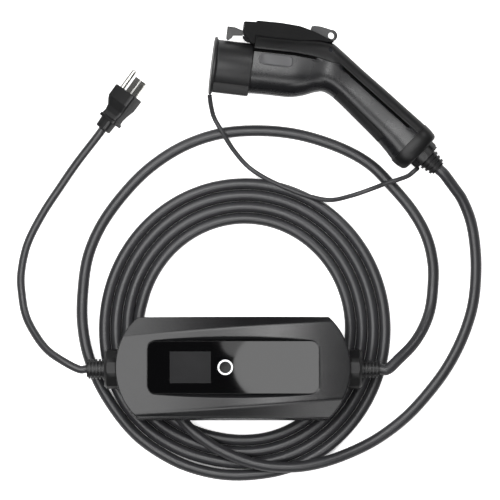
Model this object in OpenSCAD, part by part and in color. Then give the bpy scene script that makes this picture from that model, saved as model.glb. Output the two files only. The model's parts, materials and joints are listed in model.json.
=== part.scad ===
/* [Control box] */
// Length of the control box
box_len = 223; // [210:1:240]
// Width of the control box
box_wid = 96; // [92:1:106]
// Height of the lower shell
base_h = 22; // [21:0.5:26]
// Height of the upper shell at mid-length
cover_h = 30; // [29:0.5:36]
// Radius of the bowed ends
end_r = 65.5; // [60:0.5:75]
// Radius of the dome along the cover
dome_r = 860; // [800:10:1100]
// Wall thickness of both shells
box_wall = 2.6; // [2.2:0.1:3.2]
// Bevel round the bottom of the lower shell
base_bevel = 8; // [6:0.5:9]
// Slope of the slanted facets on the cover
facet_slope = 22; // [16:1:25]
// Turn of the facet creases in plan
facet_turn = 4; // [2:0.5:6]
// Distance of each crease from the middle of the box
facet_offset = 38; // [36:0.5:40]
// Lean of the box on the cable that crosses under it
box_lean = 4.5; // [4.4:0.1:5.5]

/* [Front panel] */
// Length of the gloss panel
panel_len = 162; // [150:1:170]
// Width of the gloss panel
panel_wid = 49.5; // [46:0.5:54]
// Corner radius of the gloss panel
panel_corner = 7.6; // [5:0.2:10]
// Thickness of the gloss panel
panel_t = 3; // [2:0.2:3.4]
// Length of the display window
display_len = 38.5; // [32:0.5:44]
// Width of the display window
display_wid = 30; // [24:0.5:34]
// Middle of the display window from the panel's left end
display_in = 40.5; // [36:0.5:46]
// Step from the middle of the display window to the button
button_step = 33.1; // [30.5:0.2:36.5]
// Outer diameter of the light ring
ring_d = 14.4; // [13:0.2:18]
// Diameter of the push button
button_d = 10.8; // [9:0.2:11.2]
// Travel of the push button
button_travel = 1; // [0.5:0.1:1.2]

/* [Glands] */
// Width of the gland nuts on the box, across their flats
nut_d = 37; // [33:0.5:38]
// How far the gland nuts stand out of the box
nut_len = 10.6; // [8:0.2:14]
// Length of the ribbed sleeves on the box
relief_len = 16.6; // [14:0.2:24]
// Diameter over the ribs of the supply sleeve
supply_relief_d = 19.5; // [16:0.5:22]
// Diameter over the ribs of the output sleeve
output_relief_d = 17.6; // [16:0.2:22]
// Number of ribs on each sleeve
rib_count = 5; // [3:1:7]

/* [Cables] */
// Diameter of the main cable
cable_d = 10.6; // [9.6:0.1:11]
// Diameter of the supply cord
cord_d = 7.6; // [6.6:0.1:8.4]
// Diameter of the cap's strap
strap_d = 4.4; // [3.6:0.1:5]
// Inner radius of the coil
coil_in = 96; // [94:0.5:98]
// Outer radius of the coil
coil_out = 141; // [138:0.5:142]

/* [Connector] */
// Diameter of the nose
nose_d = 43.8; // [42:0.1:45]
// Length of the dust cap
cap_len = 35.5; // [33:0.5:37]
// Diameter of the dust cap's rim
rim_d = 55; // [53:0.5:58]
// Thickness of the dust cap's rim
rim_t = 3.1; // [2.4:0.1:3.6]
// Wall of the dust cap
cap_wall = 2.4; // [1.8:0.1:2.6]
// Depth of the head below the nose axis
head_under = 22.8; // [22:0.2:24]
// Height of the latch deck above the nose axis
deck_h = 32.8; // [32:0.2:34]
// Width of the head
head_w = 46; // [44:0.5:50]
// Slope of the grip to the nose axis
grip_angle = 36.8; // [34:0.2:40]
// Thickness of the grip from front to back
grip_t = 40.6; // [39.6:0.2:42]
// Width of the grip
grip_w = 37; // [34:0.5:40]
// Distance from the nose to the grip's end collar, along the grip
grip_end = 184; // [180:1:192]
// Length of the end collar
collar_len = 15.4; // [12:0.2:20]
// Length of the connector's ribbed sleeve
tail_len = 17; // [14:0.5:24]

/* [Latch] */
// Width of the latch cover
latch_cover_w = 26; // [24:0.5:28]
// Width of the lever's arm
lever_w = 9; // [7:0.5:10]
// Width of the thumb pad
pad_w = 14; // [12:0.5:15]
// Diameter of the hinge pin
latch_pin_d = 3; // [2.4:0.1:3.4]
// Diameter of the padlock hole in the thumb pad
padlock_d = 6.4; // [5:0.1:6.8]

/* [Plug] */
// Width of the plug, from the earth side to the far side
plug_w = 25.4; // [23:0.2:28]
// Height of the plug, across the two blades
plug_h = 19.8; // [19.6:0.2:24]
// Length of the plug's body
plug_len = 33; // [30:0.5:40]
// Distance between the two blades
blade_gap = 12.7; // [12.5:0.1:12.9]
// Distance from the blades to the earth pin
earth_gap = 11.9; // [11.7:0.1:12.1]
// Diameter of the earth pin
earth_d = 4.76; // [4.7:0.02:4.82]
// Length of the earth pin
earth_len = 20.6; // [19:0.1:21.4]

/* [Hidden] */
$fn = 64;

// Colours of the real materials
black_matte = "#26272a";
black_gloss = "#0d0d0f";
black_rubber = "#1b1b1d";
cable_black = "#202124";
screen_grey = "#2e3136";
white_ring = "#f4f4f2";
board_green = "#1f5a3a";
relay_blue = "#2b4c7e";
terminal_green = "#2f6e4f";
brass = "#b9964a";
steel = "#b4b6b8";
wire_brown = "#4a2f1f";

// Clearances
slip = 0.1;
apart = 0.3;
eps = 0.01;
reach = 400;

// Where the middle of the box lies from the origin, seen from above
plan_x = 30.97;
plan_y = 140.30;

// Box heights, from the underside of the lower shell
box_h = base_h + cover_h;
bottom_y = box_wid / 2 - base_bevel;
base_floor = 3;
panel_z = box_h - dome_r + sqrt(dome_r * dome_r - panel_len * panel_len / 4);
seat_z = panel_z - panel_t;
seat_t = 2;
ceiling_z = seat_z - seat_t;
pocket_draft = 6;
display_x = display_in - panel_len / 2;
button_x = display_x + button_step;
window_slip = 0.2;

// Screws of the box
screw_x = 84;
screw_y = box_wid / 2 - 12;
screw_r = 1.5;
screw_head_r = 2.9;
screw_head_t = 2;
screw_bite = 11;
screw_lift = 0.6;
boss_r = 4.5;
boss_sink = 1;

// Gasket and its groove
seal_in = 0.8;
seal_w = 1;
seal_t = 1.2;

// Boards and what stands on them
board_t = 1.6;
board_z = 7;
board_len = 150;
board_wid = 70;
post_r = 3.5;
post_x = board_len / 2 - 6;
post_y = board_wid / 2 - 6;
part_z = board_z + board_t;
show_board_z = ceiling_z - 8;
show_board_len = 70;
show_board_wid = 38;
show_post_r = 2.2;
show_post_in = [4, 3];
window_lip = 2;
switch_size = 6;
button_flange_t = 1.6;
button_dish_r = 24;
button_dish = 0.5;
button_flange_r = ring_d / 2 + 0.6;
relay_size = [28, 16, 22];
relay_gap = 20;
relay_y = -18;
sensor_r = 13;
sensor_hole_r = 6.5;
sensor_h = 10;
supply_size = [34, 28, 20];
terminal_size = [12, 34, 14];
terminal_x = board_len / 2 - 8;
part_gap = 2;
part_x = terminal_x - terminal_size[0] / 2 - part_gap;
supply_at = [-part_x + supply_size[0] / 2, 12];
sensor_at = [part_x - part_gap - sensor_r, 14];
relay_x = sensor_at[0] - sensor_r - 1.5 * part_gap - relay_size[0] / 2;
wire_r = 1.4;
wire_gap = 4.4;
wire_drop = 5;
stub_r = 10.5;
stub_in = 9;

// Glands of the box
nut_bevel = 2.8;
nut_flats = 8;
nut_corner = 0.7;
nut_root = 5;
rib_deep = 1.7;
spine_w = 1.6;
spine_low = 0.2;
spine_count = 4;
relief_taper = 0.6;

// Coil and rest of the box on it
coil_at = [11, 37];
coil_h = cable_d;
box_shift_y = -2.3;
turn_r = cable_d / 2;
lay_z = turn_r + slip;

// Connector in its own frame: x along the nose, y to the latch, z across
nose_r = nose_d / 2;
rim_r = rim_d / 2;
skirt_r = nose_r + apart + cap_wall;
head_x = cap_len + 0.5;
rim_edge = 0.8;
nose_x = rim_t + 0.4;
nose_tail = 30;
nose_tail_r = 16.6;
nose_room_r = 14.4;
nose_room = 8;
nose_dish = 2;
key_top = -15.5;
key_low = -24.8;
key_half = 20.4;
collar_half_w = grip_w / 2 + 1;
collar_touch_x = 205;
connector_at = [-18.7, 287.4];
connector_turn = -6.9;
connector_tilt = asin((rim_r - collar_half_w) / (collar_touch_x - rim_t));
connector_z = rim_r * cos(connector_tilt) + (rim_t - rim_edge) * sin(connector_tilt);
grip_dir = [cos(grip_angle), -sin(grip_angle)];
grip_out = [sin(grip_angle), cos(grip_angle)];
grip_back = 96.4;
grip_front = grip_back - grip_t;
grip_flare = 3.8;
back_flare = 1.9;
grip_mid = grip_back - grip_t / 2 + 0.9;
shell_crown = 2.6;
shell_step = 0.8;
groove_w = 2.2;
groove_in = 3;
crotch = [104, -13.4];
low_power = 2.2;
high_power = 3.2;
ring_sides = 32;
shell_steps = 3;

// Contacts in the nose: across, up, bore radius, outer radius
power_at = [7.9, 6.8];
power_bore = 1.8;
power_r = 3.4;
earth_at = [0, -10.6];
earth_bore = 1.4;
earth_r = 2.9;
signal_at = [9.6, -5.6];
signal_bore = 0.8;
signal_r = 1.8;
contact_front = nose_x + nose_dish + 3;
contact_back = head_x + nose_tail + 4;

// Handle wiring and screws
core_r = 5.2;
core_y = 3;
core_bend = 8;
core_x = (grip_mid - core_y * grip_out[1]) / grip_out[0];
handle_screw_at = [108, 27.9];
handle_screw_head_r = 2.6;
handle_screw_head_t = 2;

// Latch in the connector's frame
latch_at = [58, 38];
latch_boss_r = 4.2;
latch_cover_wall = 2.4;
hook_low = skirt_r + 0.9;
slot_low = 27;
slot_x = [46, 117];
slot_w = pad_w + 1.4;
padlock_at = [107.5, 41.6];
padlock_rim = 2.4;
spring_x = 84;
spring_r = 2.6;
spring_wire_r = 0.4;
spring_turns = 4;
spring_steps = 8;
spring_sides = 6;
latch_switch_size = [12, 5.4, 6];
latch_switch_x = 68;

// Tail of the connector, along the grip
nut_tail_r = 14.6;
nut_tail_len = 5.6;
tail_r = 11.6;
tail_end_r = 8.4;
tail_ribs = 4;
collar_end = grip_end + collar_len;
nut_end = collar_end + nut_tail_len;
tail_end = nut_end + tail_len;
ring_t = 2.2;

// Plug in its own frame: x along the blades, y to the earth pin, z across the blades
plug_at = [-99, 262];
plug_turn = 54;
plug_roll = -28;
plug_z = 13.50;
plug_power = 8;
neck_power = 4;
plug_sides = 24;
earth_y = 9.1;
blade_y = earth_y - earth_gap;
blade_wid = 6.35;
blade_t = 1.52;
blade_len = 16.2;
blade_seat = 6;
pin_tip = 1.4;
pin_step = 0.3;
pin_root_r = earth_d / 2 - 0.5;
plug_neck_r = 7;
plug_neck_len = 10;

// Angle turned by a rule of powers, for rings between an ellipse and a box
function bend(v, p) = sign(v) * pow(abs(v), 2 / p);
function unit(v) = v / norm(v);
function mix(a, b, c, d, t) = 0.5 * (2 * b + (c - a) * t + (2 * a - 5 * b + 4 * c - d) * t * t
    + (3 * b - a - 3 * c + d) * t * t * t);
function pick(list, i) = list[max(0, min(len(list) - 1, i))];
function smooth(list, steps) = concat(
    [for (i = [0:len(list) - 2], k = [0:steps - 1])
        mix(pick(list, i - 1), list[i], list[i + 1], pick(list, i + 2), k / steps)],
    [list[len(list) - 1]]
);

// Faces of a skin over m rings of n points
function skin_faces(m, n) = concat(
    [[for (i = [0:n - 1]) i]],
    [[for (i = [n - 1:-1:0]) (m - 1) * n + i]],
    [for (k = [0:m - 2], i = [0:n - 1]) [k * n + i, (k + 1) * n + (i + 1) % n, k * n + (i + 1) % n]],
    [for (k = [0:m - 2], i = [0:n - 1]) [k * n + i, (k + 1) * n + i, (k + 1) * n + (i + 1) % n]]
);

module skin(rings) {
    n = len(rings[0]);
    polyhedron(points = [for (r = rings) each r], faces = skin_faces(len(rings), n), convexity = 6);
}

// Tube along a route, with its rings square to it
function along(path, i) = unit(pick(path, i + 1) - pick(path, i - 1));
function tube_ring(path, i, r, sides) =
    let (t = along(path, i), s = unit(cross(t, [0, 0, 1])), u = cross(s, t))
    [for (k = [0:sides - 1]) path[i] + r * (cos(360 * k / sides) * u + sin(360 * k / sides) * s)];
function tube(path, r, sides) = [for (i = [0:len(path) - 1]) tube_ring(path, i, r, sides)];

// Places
module in_plan() {
    translate([-plan_x, -plan_y, 0]) children();
}

module in_box() {
    in_plan()
    translate([0, bottom_y + box_shift_y, coil_h])
    rotate([-box_lean, 0, 0])
    translate([0, -bottom_y, 0])
    children();
}

module in_connector() {
    in_plan()
    translate([connector_at[0], connector_at[1], connector_z])
    rotate([0, connector_tilt, connector_turn])
    children();
}

module on_grip(s) {
    p = s * grip_dir + grip_mid * grip_out;
    translate([p[0], p[1], 0])
    rotate([0, 0, -grip_angle])
    rotate([0, 90, 0])
    children();
}

module in_plug() {
    in_plan()
    translate([plug_at[0], plug_at[1], plug_z])
    rotate([plug_roll, 0, plug_turn])
    children();
}

// Points of the same places, for the cords
function box_point(x, z) = [
    x,
    bottom_y + box_shift_y - bottom_y * cos(box_lean) + z * sin(box_lean),
    coil_h + bottom_y * sin(box_lean) + z * cos(box_lean)
];
function connector_point(p) =
    let (x = p[0] * cos(connector_tilt) + p[2] * sin(connector_tilt))
    [
        connector_at[0] + x * cos(connector_turn) - p[1] * sin(connector_turn),
        connector_at[1] + x * sin(connector_turn) + p[1] * cos(connector_turn),
        connector_z - p[0] * sin(connector_tilt) + p[2] * cos(connector_tilt)
    ];
function grip_point(s, d) = [s * grip_dir[0] + d * grip_out[0], s * grip_dir[1] + d * grip_out[1], 0];
function plug_point(x) = [plug_at[0] + x * cos(plug_turn), plug_at[1] + x * sin(plug_turn), plug_z];

// Routes of the cords, seen from the middle of the box
nut_face = box_len / 2 + nut_len;
lead_out = 8;
strap_clear = 1.2;
output_fall = [[158, 10, 32], [170, 22, 25], [180, 37, 16.5], [187, 55, 9], [190, 77, 5.6]];
output_floor = [
    [190, 100], [184, 125], [171, 149], [152, 172], [130, 194], [101, 210], [63, 222], [25, 226],
    [-13, 223], [-48, 211], [-79, 191], [-104, 166], [-125, 137], [-138, 107], [-143, 75], [-142, 42],
    [-134, 10], [-118, -25], [-92, -62], [-60, -86], [-28, -98], [6, -102]
];
connector_climb = [
    [-86, 20, 5.4], [-77, -8, 5.8], [-62, -31, 8], [-52, -45, 12], [-36, -62, 16], [-10, -79, 16.1],
    [22, -91, 16.1], [54, -94, 15.8], [83, -90, 13], [112, -80, 8.6], [139, -66, 5.8]
];
connector_floor = [[165, -46], [187, -22], [205, 3], [219, 31], [228, 60], [231, 90], [230, 117]];
connector_rise = [[226, 140, 6.4], [218, 160, 10.4], [209, 173, 14.6]];
supply_fall = [
    [-163, 8, 32], [-177, 18, 25], [-188, 32, 16], [-197, 49, 8], [-201, 68, 4.1], [-202, 90, 3.9],
    [-196, 118, 3.9], [-182, 146, 3.9], [-165, 172, 4.4], [-149, 195, 8]
];
tether_route = [
    [-21, 249, 21], [-18, 238, 15], [-10, 224, 13.2], [0, 208, 7], [14, 192, 2.6], [32, 180, 6.5],
    [54, 170, 12.4], [74, 163, 13], [93, 160, 11], [112, 164, 5], [130, 170, 6], [147, 178, 13], [160, 183, 16]
];
tether_start = connector_point([rim_t / 2, -rim_r - strap_clear, 0]);
tether_end = connector_point(
    grip_point(nut_end + strap_d / 2 + apart, grip_mid - tail_r - ring_t - strap_clear)
);
function at_height(list, z) = [for (p = list) [p[0], p[1], z]];
output_path = concat(
    [box_point(nut_face, base_h), box_point(nut_face + relief_len, base_h),
        box_point(nut_face + relief_len + lead_out, base_h)],
    output_fall, at_height(output_floor, lay_z)
);
connector_path = concat(
    connector_climb, at_height(connector_floor, lay_z), connector_rise,
    [connector_point(grip_point(tail_end + lead_out, grip_mid)),
        connector_point(grip_point(tail_end, grip_mid)), connector_point(grip_point(nut_end, grip_mid))]
);
supply_path = concat(
    [box_point(-nut_face, base_h), box_point(-nut_face - relief_len, base_h),
        box_point(-nut_face - relief_len - lead_out, base_h)],
    supply_fall,
    [plug_point(-plug_len - plug_neck_len - lead_out), plug_point(-plug_len - plug_neck_len)]
);
tether_path = concat([tether_start], tether_route, [tether_end]);
tube_sides = 10;
thin_sides = 8;

// Outlines
module rounded_plate(l, w, r) {
    square([l - 2 * r, w], center = true);
    square([l, w - 2 * r], center = true);
    for (x = [-1, 1], y = [-1, 1]) translate([x * (l / 2 - r), y * (w / 2 - r)]) circle(r);
}

module box_outline(inset) {
    bow_x = box_len / 2 - end_r;
    intersection() {
        square([box_len - 2 * inset, box_wid - 2 * inset], center = true);
        union() {
            for (x = [-bow_x, bow_x]) translate([x, 0]) circle(end_r - inset, $fn = 180);
            square([2 * bow_x, 2 * (end_r - inset)], center = true);
        }
    }
}

// Half of a lower shell's section, with the bevel at its foot
function bevelled(half) = [[0, 0], [half - base_bevel, 0], [half, base_bevel], [half, base_h], [0, base_h]];

module base_form() {
    bow_x = box_len / 2 - end_r;
    intersection() {
        rotate([90, 0, 90]) linear_extrude(box_len, center = true) {
            polygon(bevelled(box_wid / 2));
            mirror([1, 0]) polygon(bevelled(box_wid / 2));
        }
        union() {
            for (x = [-bow_x, bow_x])
                translate([x, 0, 0]) rotate_extrude($fn = 180) polygon(bevelled(end_r));
            translate([-bow_x, -box_wid / 2 - 1, 0]) cube([2 * bow_x, box_wid + 2, base_h]);
        }
    }
}

// Upper shell's form, drawn in from its faces by an inset
module dome(inset) {
    translate([0, 0, -dome_r]) rotate([90, 0, 0])
        cylinder(r = dome_r - inset, h = reach, center = true, $fn = 720);
}

module cover_form(inset) {
    intersection() {
        translate([0, 0, base_h]) linear_extrude(cover_h) box_outline(inset);
        translate([0, 0, box_h]) dome(inset);
        for_facet(1, inset);
        for_facet(-1, inset);
    }
}

module for_facet(side, inset) {
    rotate([0, 0, side > 0 ? 0 : 180])
    translate([0, facet_offset, box_h])
    rotate([0, 0, facet_turn])
    rotate([-facet_slope, 0, 0])
    dome(inset);
}

module at_screws() {
    for (x = [-screw_x, screw_x], y = [-screw_y, screw_y]) translate([x, y, 0]) children();
}

module gland_hole(side) {
    translate([side * (box_len / 2 - stub_in - 1), 0, base_h])
        rotate([0, side * 90, 0]) cylinder(r = stub_r + slip, h = stub_in + 12);
}

module box_base() {
    color(black_matte) in_box() difference() {
        union() {
            difference() {
                base_form();
                translate([0, 0, base_bevel]) linear_extrude(base_h) box_outline(box_wall);
                translate([0, 0, base_floor]) linear_extrude(base_h) box_outline(base_bevel + box_wall);
            }
            at_screws() cylinder(r = boss_r, h = base_h);
            for (x = [-post_x, post_x], y = [-post_y, post_y]) translate([x, y, base_floor - 1])
                cylinder(r = post_r, h = board_z - base_floor + 1);
        }
        at_screws() translate([0, 0, -1]) cylinder(r = screw_r + slip, h = base_h + 2);
        at_screws() translate([0, 0, -1])
            cylinder(r = screw_head_r + slip, h = screw_head_t + screw_lift + 1);
        translate([0, 0, base_h - seal_t]) linear_extrude(seal_t + 1) difference() {
            box_outline(seal_in);
            box_outline(seal_in + seal_w);
        }
        for (s = [-1, 1]) gland_hole(s);
    }
}

module box_seal() {
    color(black_rubber) in_box() difference() {
        translate([0, 0, base_h - seal_t]) linear_extrude(seal_t) difference() {
            box_outline(seal_in);
            box_outline(seal_in + seal_w);
        }
        for (s = [-1, 1]) gland_hole(s);
    }
}

module panel_pocket() {
    translate([0, 0, seat_z]) linear_extrude(panel_t + 1)
        rounded_plate(panel_len + slip, panel_wid + slip, panel_corner);
    hull() {
        translate([0, 0, panel_z]) linear_extrude(eps)
            rounded_plate(panel_len + slip, panel_wid + slip, panel_corner, $fn = 32);
        translate([0, 0, panel_z + pocket_draft]) linear_extrude(eps)
            rounded_plate(panel_len + 2 * pocket_draft, panel_wid + 2 * pocket_draft,
                panel_corner + pocket_draft, $fn = 32);
    }
}

module box_cover() {
    color(black_matte) in_box() difference() {
        union() {
            difference() {
                cover_form(0);
                intersection() {
                    cover_form(box_wall);
                    translate([0, 0, ceiling_z / 2]) cube([reach, reach, ceiling_z], center = true);
                }
            }
            intersection() {
                cover_form(boss_sink);
                union() {
                    at_screws() translate([0, 0, base_h]) cylinder(r = boss_r, h = cover_h);
                    for (x = [-1, 1], y = [-1, 1])
                        translate([
                            (display_x + button_x) / 2 + x * (show_board_len / 2 - show_post_in[0]),
                            y * (show_board_wid / 2 - show_post_in[1]),
                            show_board_z + board_t
                        ]) cylinder(r = show_post_r, h = seat_z - show_board_z - board_t);
                }
            }
        }
        panel_pocket();
        at_screws() translate([0, 0, base_h - 1]) cylinder(r = screw_r + slip, h = screw_bite + 2);
        translate([display_x, 0, seat_z - seat_t / 2])
            cube([
                display_len - 2 * window_lip + window_slip,
                display_wid - 2 * window_lip + window_slip,
                seat_t + 2
            ], center = true);
        translate([button_x, 0, ceiling_z - 1]) cylinder(r = button_d / 2 + apart, h = seat_t + 2);
        for (s = [-1, 1]) gland_hole(s);
    }
}

module box_screws() {
    color(steel) in_box() at_screws() {
        translate([0, 0, screw_lift]) cylinder(r = screw_head_r, h = screw_head_t);
        translate([0, 0, screw_lift]) cylinder(r = screw_r, h = base_h + screw_bite - screw_lift);
    }
}

module front_panel() {
    color(black_gloss) in_box() translate([0, 0, seat_z]) linear_extrude(panel_t) difference() {
        rounded_plate(panel_len, panel_wid, panel_corner);
        translate([display_x, 0]) square([display_len, display_wid], center = true);
        translate([button_x, 0]) circle(ring_d / 2 + slip / 2);
    }
}

module display_window() {
    color(screen_grey) in_box() translate([display_x, 0, seat_z + panel_t / 2])
        cube([display_len - slip, display_wid - slip, panel_t], center = true);
}

module display_module() {
    h = seat_z - show_board_z - board_t;
    color(screen_grey) in_box() translate([display_x, 0, show_board_z + board_t + h / 2])
        cube([display_len - 2 * window_lip, display_wid - 2 * window_lip, h], center = true);
}

module button_ring() {
    color(white_ring) in_box() translate([button_x, 0, seat_z]) difference() {
        cylinder(r = ring_d / 2, h = panel_t);
        translate([0, 0, -1]) cylinder(r = button_d / 2 + apart, h = panel_t + 2);
    }
}

module set_button() {
    foot_z = ceiling_z - apart - button_flange_t;
    color(black_gloss) in_box() translate([button_x, 0, 0]) difference() {
        union() {
            translate([0, 0, foot_z]) cylinder(r = button_d / 2, h = panel_z - foot_z);
            translate([0, 0, foot_z]) cylinder(r = button_flange_r, h = button_flange_t);
        }
        translate([0, 0, panel_z - button_dish + button_dish_r]) sphere(r = button_dish_r);
    }
}

module button_switch() {
    foot_z = ceiling_z - apart - button_flange_t;
    h = foot_z - button_travel - apart - show_board_z - board_t;
    color(black_rubber) in_box() translate([button_x, 0, show_board_z + board_t + h / 2])
        cube([switch_size, switch_size, h], center = true);
}

module display_board() {
    color(board_green) in_box() translate([(display_x + button_x) / 2, 0, show_board_z + board_t / 2])
        cube([show_board_len, show_board_wid, board_t], center = true);
}

module circuit_board() {
    color(board_green) in_box() translate([0, 0, board_z + board_t / 2])
        cube([board_len, board_wid, board_t], center = true);
}

module power_relays() {
    color(relay_blue) in_box() for (k = [0, 1])
        translate([relay_x, relay_y + k * relay_gap, part_z + relay_size[2] / 2])
            cube(relay_size, center = true);
}

module current_sensor() {
    color(black_rubber) in_box() translate([sensor_at[0], sensor_at[1], part_z]) difference() {
        cylinder(r = sensor_r, h = sensor_h);
        translate([0, 0, -1]) cylinder(r = sensor_hole_r, h = sensor_h + 2);
    }
}

module power_supply() {
    color(relay_blue) in_box() translate([supply_at[0], supply_at[1], part_z + supply_size[2] / 2])
        cube(supply_size, center = true);
}

module terminal_block(side) {
    in_box() translate([side * terminal_x, 0, part_z + terminal_size[2] / 2])
        cube(terminal_size, center = true);
}

module supply_terminals() {
    color(terminal_green) terminal_block(-1);
}

module output_terminals() {
    color(terminal_green) terminal_block(1);
}

module wires(side) {
    from_x = terminal_x + terminal_size[0] / 2;
    to_x = box_len / 2 - stub_in;
    in_box() for (k = [-1:1]) translate([side * from_x, k * wire_gap, base_h - wire_drop])
        rotate([0, side * 90, 0]) cylinder(r = wire_r, h = to_x - from_x);
}

module supply_wires() {
    color(wire_brown) wires(-1);
}

module output_wires() {
    color(wire_brown) wires(1);
}

// Nut of a gland on the end of the box: broad flats, rounded corners and a bevelled outer edge
module gland_nut(side) {
    corner_r = nut_d / 2 + nut_corner;
    deep = nut_len + nut_root;
    in_box() difference() {
        translate([side * (box_len / 2 - nut_root), 0, base_h]) rotate([0, side * 90, 0]) intersection() {
            linear_extrude(deep) rotate(180 / nut_flats)
                circle(nut_d / 2 / cos(180 / nut_flats), $fn = nut_flats);
            rotate_extrude() polygon([
                [0, 0], [corner_r, 0], [corner_r, deep - nut_bevel], [corner_r - nut_bevel, deep], [0, deep]
            ]);
        }
        translate([0, 0, -1]) linear_extrude(box_h + 2) box_outline(0);
    }
    in_box() translate([side * (box_len / 2 - stub_in), 0, base_h]) rotate([0, side * 90, 0])
        cylinder(r = stub_r, h = stub_in + 1);
}

// Ribbed sleeve round a cable, from z = 0
module ribbed_sleeve(length, over_r, end_r_out, bore_r, ribs) {
    pitch = length / ribs;
    function at(z) = over_r + (end_r_out - over_r) * z / length;
    rotate_extrude() polygon(concat(
        [[bore_r, 0]],
        [for (k = [0:ribs - 1], q = [[0, 0], [0.52, 0], [0.62, 1], [0.94, 1], [1, 0]])
            let (z = (k + q[0]) * pitch) [at(z) - q[1] * rib_deep, z]],
        [[bore_r, length]]
    ));
    for (k = [0:spine_count - 1]) rotate((k + 0.5) * 360 / spine_count) intersection() {
        cylinder(r1 = over_r - spine_low, r2 = end_r_out - spine_low, h = length);
        translate([(bore_r + end_r_out - rib_deep) / 2, -spine_w / 2, 0]) cube([over_r, spine_w, length]);
    }
}

module box_relief(side, over_d, bore_d) {
    in_box() translate([side * nut_face, 0, base_h]) rotate([0, side * 90, 0])
        ribbed_sleeve(relief_len, over_d / 2, over_d / 2 - relief_taper, bore_d / 2 + apart, rib_count);
}

module supply_gland_nut() {
    color(black_matte) gland_nut(-1);
}

module supply_relief() {
    color(black_rubber) box_relief(-1, supply_relief_d, cord_d);
}

module output_gland_nut() {
    color(black_matte) gland_nut(1);
}

module output_relief() {
    color(black_rubber) box_relief(1, output_relief_d, cable_d);
}

// Stations of the handle: low point, high point, half width
function station(low, high, half) = [low[0], low[1], high[0], high[1], half];
function grip_station(s, front, back, half) = station(grip_point(s, front), grip_point(s, back), half);
bend_back = (grip_back - (deck_h + shell_crown) * grip_out[1]) / grip_out[0];
handle_stations = [
    station([head_x, -head_under], [head_x, deck_h + shell_crown], head_w / 2),
    station([head_x + 18, -head_under + 0.5], [head_x + 18, deck_h + shell_crown], head_w / 2),
    station([head_x + 38, -head_under + 0.8], [head_x + 40, deck_h + shell_crown + 0.6], head_w / 2 - 0.4),
    station([head_x + 51, crotch[1] - 5.7], [head_x + 59, deck_h + shell_crown + 1.6], head_w / 2 - 1.4),
    station([crotch[0] - 5, crotch[1] - 0.8], [bend_back - 5, deck_h + shell_crown], head_w / 2 - 2.4),
    station([crotch[0] + 3.5, crotch[1] + 0.2], [bend_back + 5, deck_h - 3.4], (head_w + grip_w) / 4 - 0.4),
    grip_station(107, grip_front + 0.2, grip_back - 1.1, grip_w / 2 + 0.4),
    grip_station(133, grip_front - 0.1, grip_back + 0.1, grip_w / 2),
    grip_station(157, grip_front - 0.7, grip_back + 0.9, grip_w / 2),
    grip_station(
        grip_end - 12, grip_front - grip_flare + 1.8, grip_back + back_flare - 0.4, grip_w / 2 + 0.6
    ),
    grip_station(grip_end, grip_front - grip_flare, grip_back + back_flare, grip_w / 2 + 1)
];
function handle_ring(st, inset) =
    let (
        low = [st[0], st[1], 0], high = [st[2], st[3], 0],
        mid = (low + high) / 2, half_h = norm(high - low) / 2 - inset, up = unit(high - low)
    )
    [for (k = [0:ring_sides - 1]) let (
        a = 360 * k / ring_sides, p = sin(a) < 0 ? low_power : high_power
    ) mid + up * half_h * bend(sin(a), p) + [0, 0, st[4] - inset] * bend(cos(a), p)];
function handle_rings(inset) = [for (st = smooth(handle_stations, shell_steps)) handle_ring(st, inset)];

module handle_form(inset) {
    skin(handle_rings(inset));
}

// Seam between the gloss body and the matte back, and the deck under the latch cover
seam_y = 20.6;
seam_line = [
    [head_x - 2, seam_y], [head_x + 38, seam_y + 0.6], [head_x + 57, seam_y - 0.8],
    [head_x + 76, seam_y - 4.6], [head_x + 82, seam_y - 4.4]
];
grip_seam = 87.4;
function flat(p) = [p[0], p[1]];
seam_all = concat(seam_line, [flat(grip_point(grip_end + 6, grip_seam))]);
deck_line = [
    [head_x - slip, deck_h], [head_x + 43, deck_h + 0.4],
    [head_x + 58, deck_h + 2.6], [head_x + 74, deck_h + 2.4]
];

module below_seam() {
    translate([0, 0, -reach / 2]) linear_extrude(reach)
        polygon(concat(seam_all, [[reach, -reach], [head_x - 2, -reach]]));
}

module above_seam() {
    translate([0, 0, -reach / 2]) linear_extrude(reach)
        polygon(concat(seam_all, [[reach, 60], [head_x - 2, 60]]));
}

module above_deck() {
    translate([0, 0, -reach / 2]) linear_extrude(reach)
        polygon(concat(
            [[head_x - 2, deck_h]], deck_line,
            [[head_x + 90, deck_h + 6], [head_x + 90, reach], [head_x - 2, reach]]
        ));
}

// Grooves under the seam on both sides, along the head and along the grip
head_groove = [seam_line[0], seam_line[1], seam_line[1] + [9, -0.6]];
groove_start = seam_line[4];
groove_run = flat(grip_point(grip_end + 6, grip_seam)) - groove_start;
grip_groove = [groove_start + 0.04 * groove_run, groove_start + 0.87 * groove_run];

module groove_band(line, drop) {
    linear_extrude(reach) polygon(concat(line, [for (i = [len(line) - 1:-1:0]) line[i] - drop]));
}

module seam_grooves() {
    for (side = [0, 1]) mirror([0, 0, side]) {
        translate([0, 0, head_w / 2 - groove_in]) groove_band(head_groove, [0, groove_w]);
        translate([0, 0, grip_w / 2 - groove_in]) groove_band(grip_groove, groove_w * grip_out);
    }
}

core_start = core_x * grip_dir[0] + core_y * grip_dir[1];
core_path = [
    [head_x + nose_tail, core_y, 0], [core_x - core_bend, core_y, 0],
    grip_point(core_start + core_bend, grip_mid), grip_point(collar_end, grip_mid)
];

module handle_channel(clear) {
    skin(tube(core_path, core_r + clear, tube_sides));
}

module at_handle_screw() {
    translate([handle_screw_at[0], handle_screw_at[1], head_w / 4]) children();
}

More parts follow.
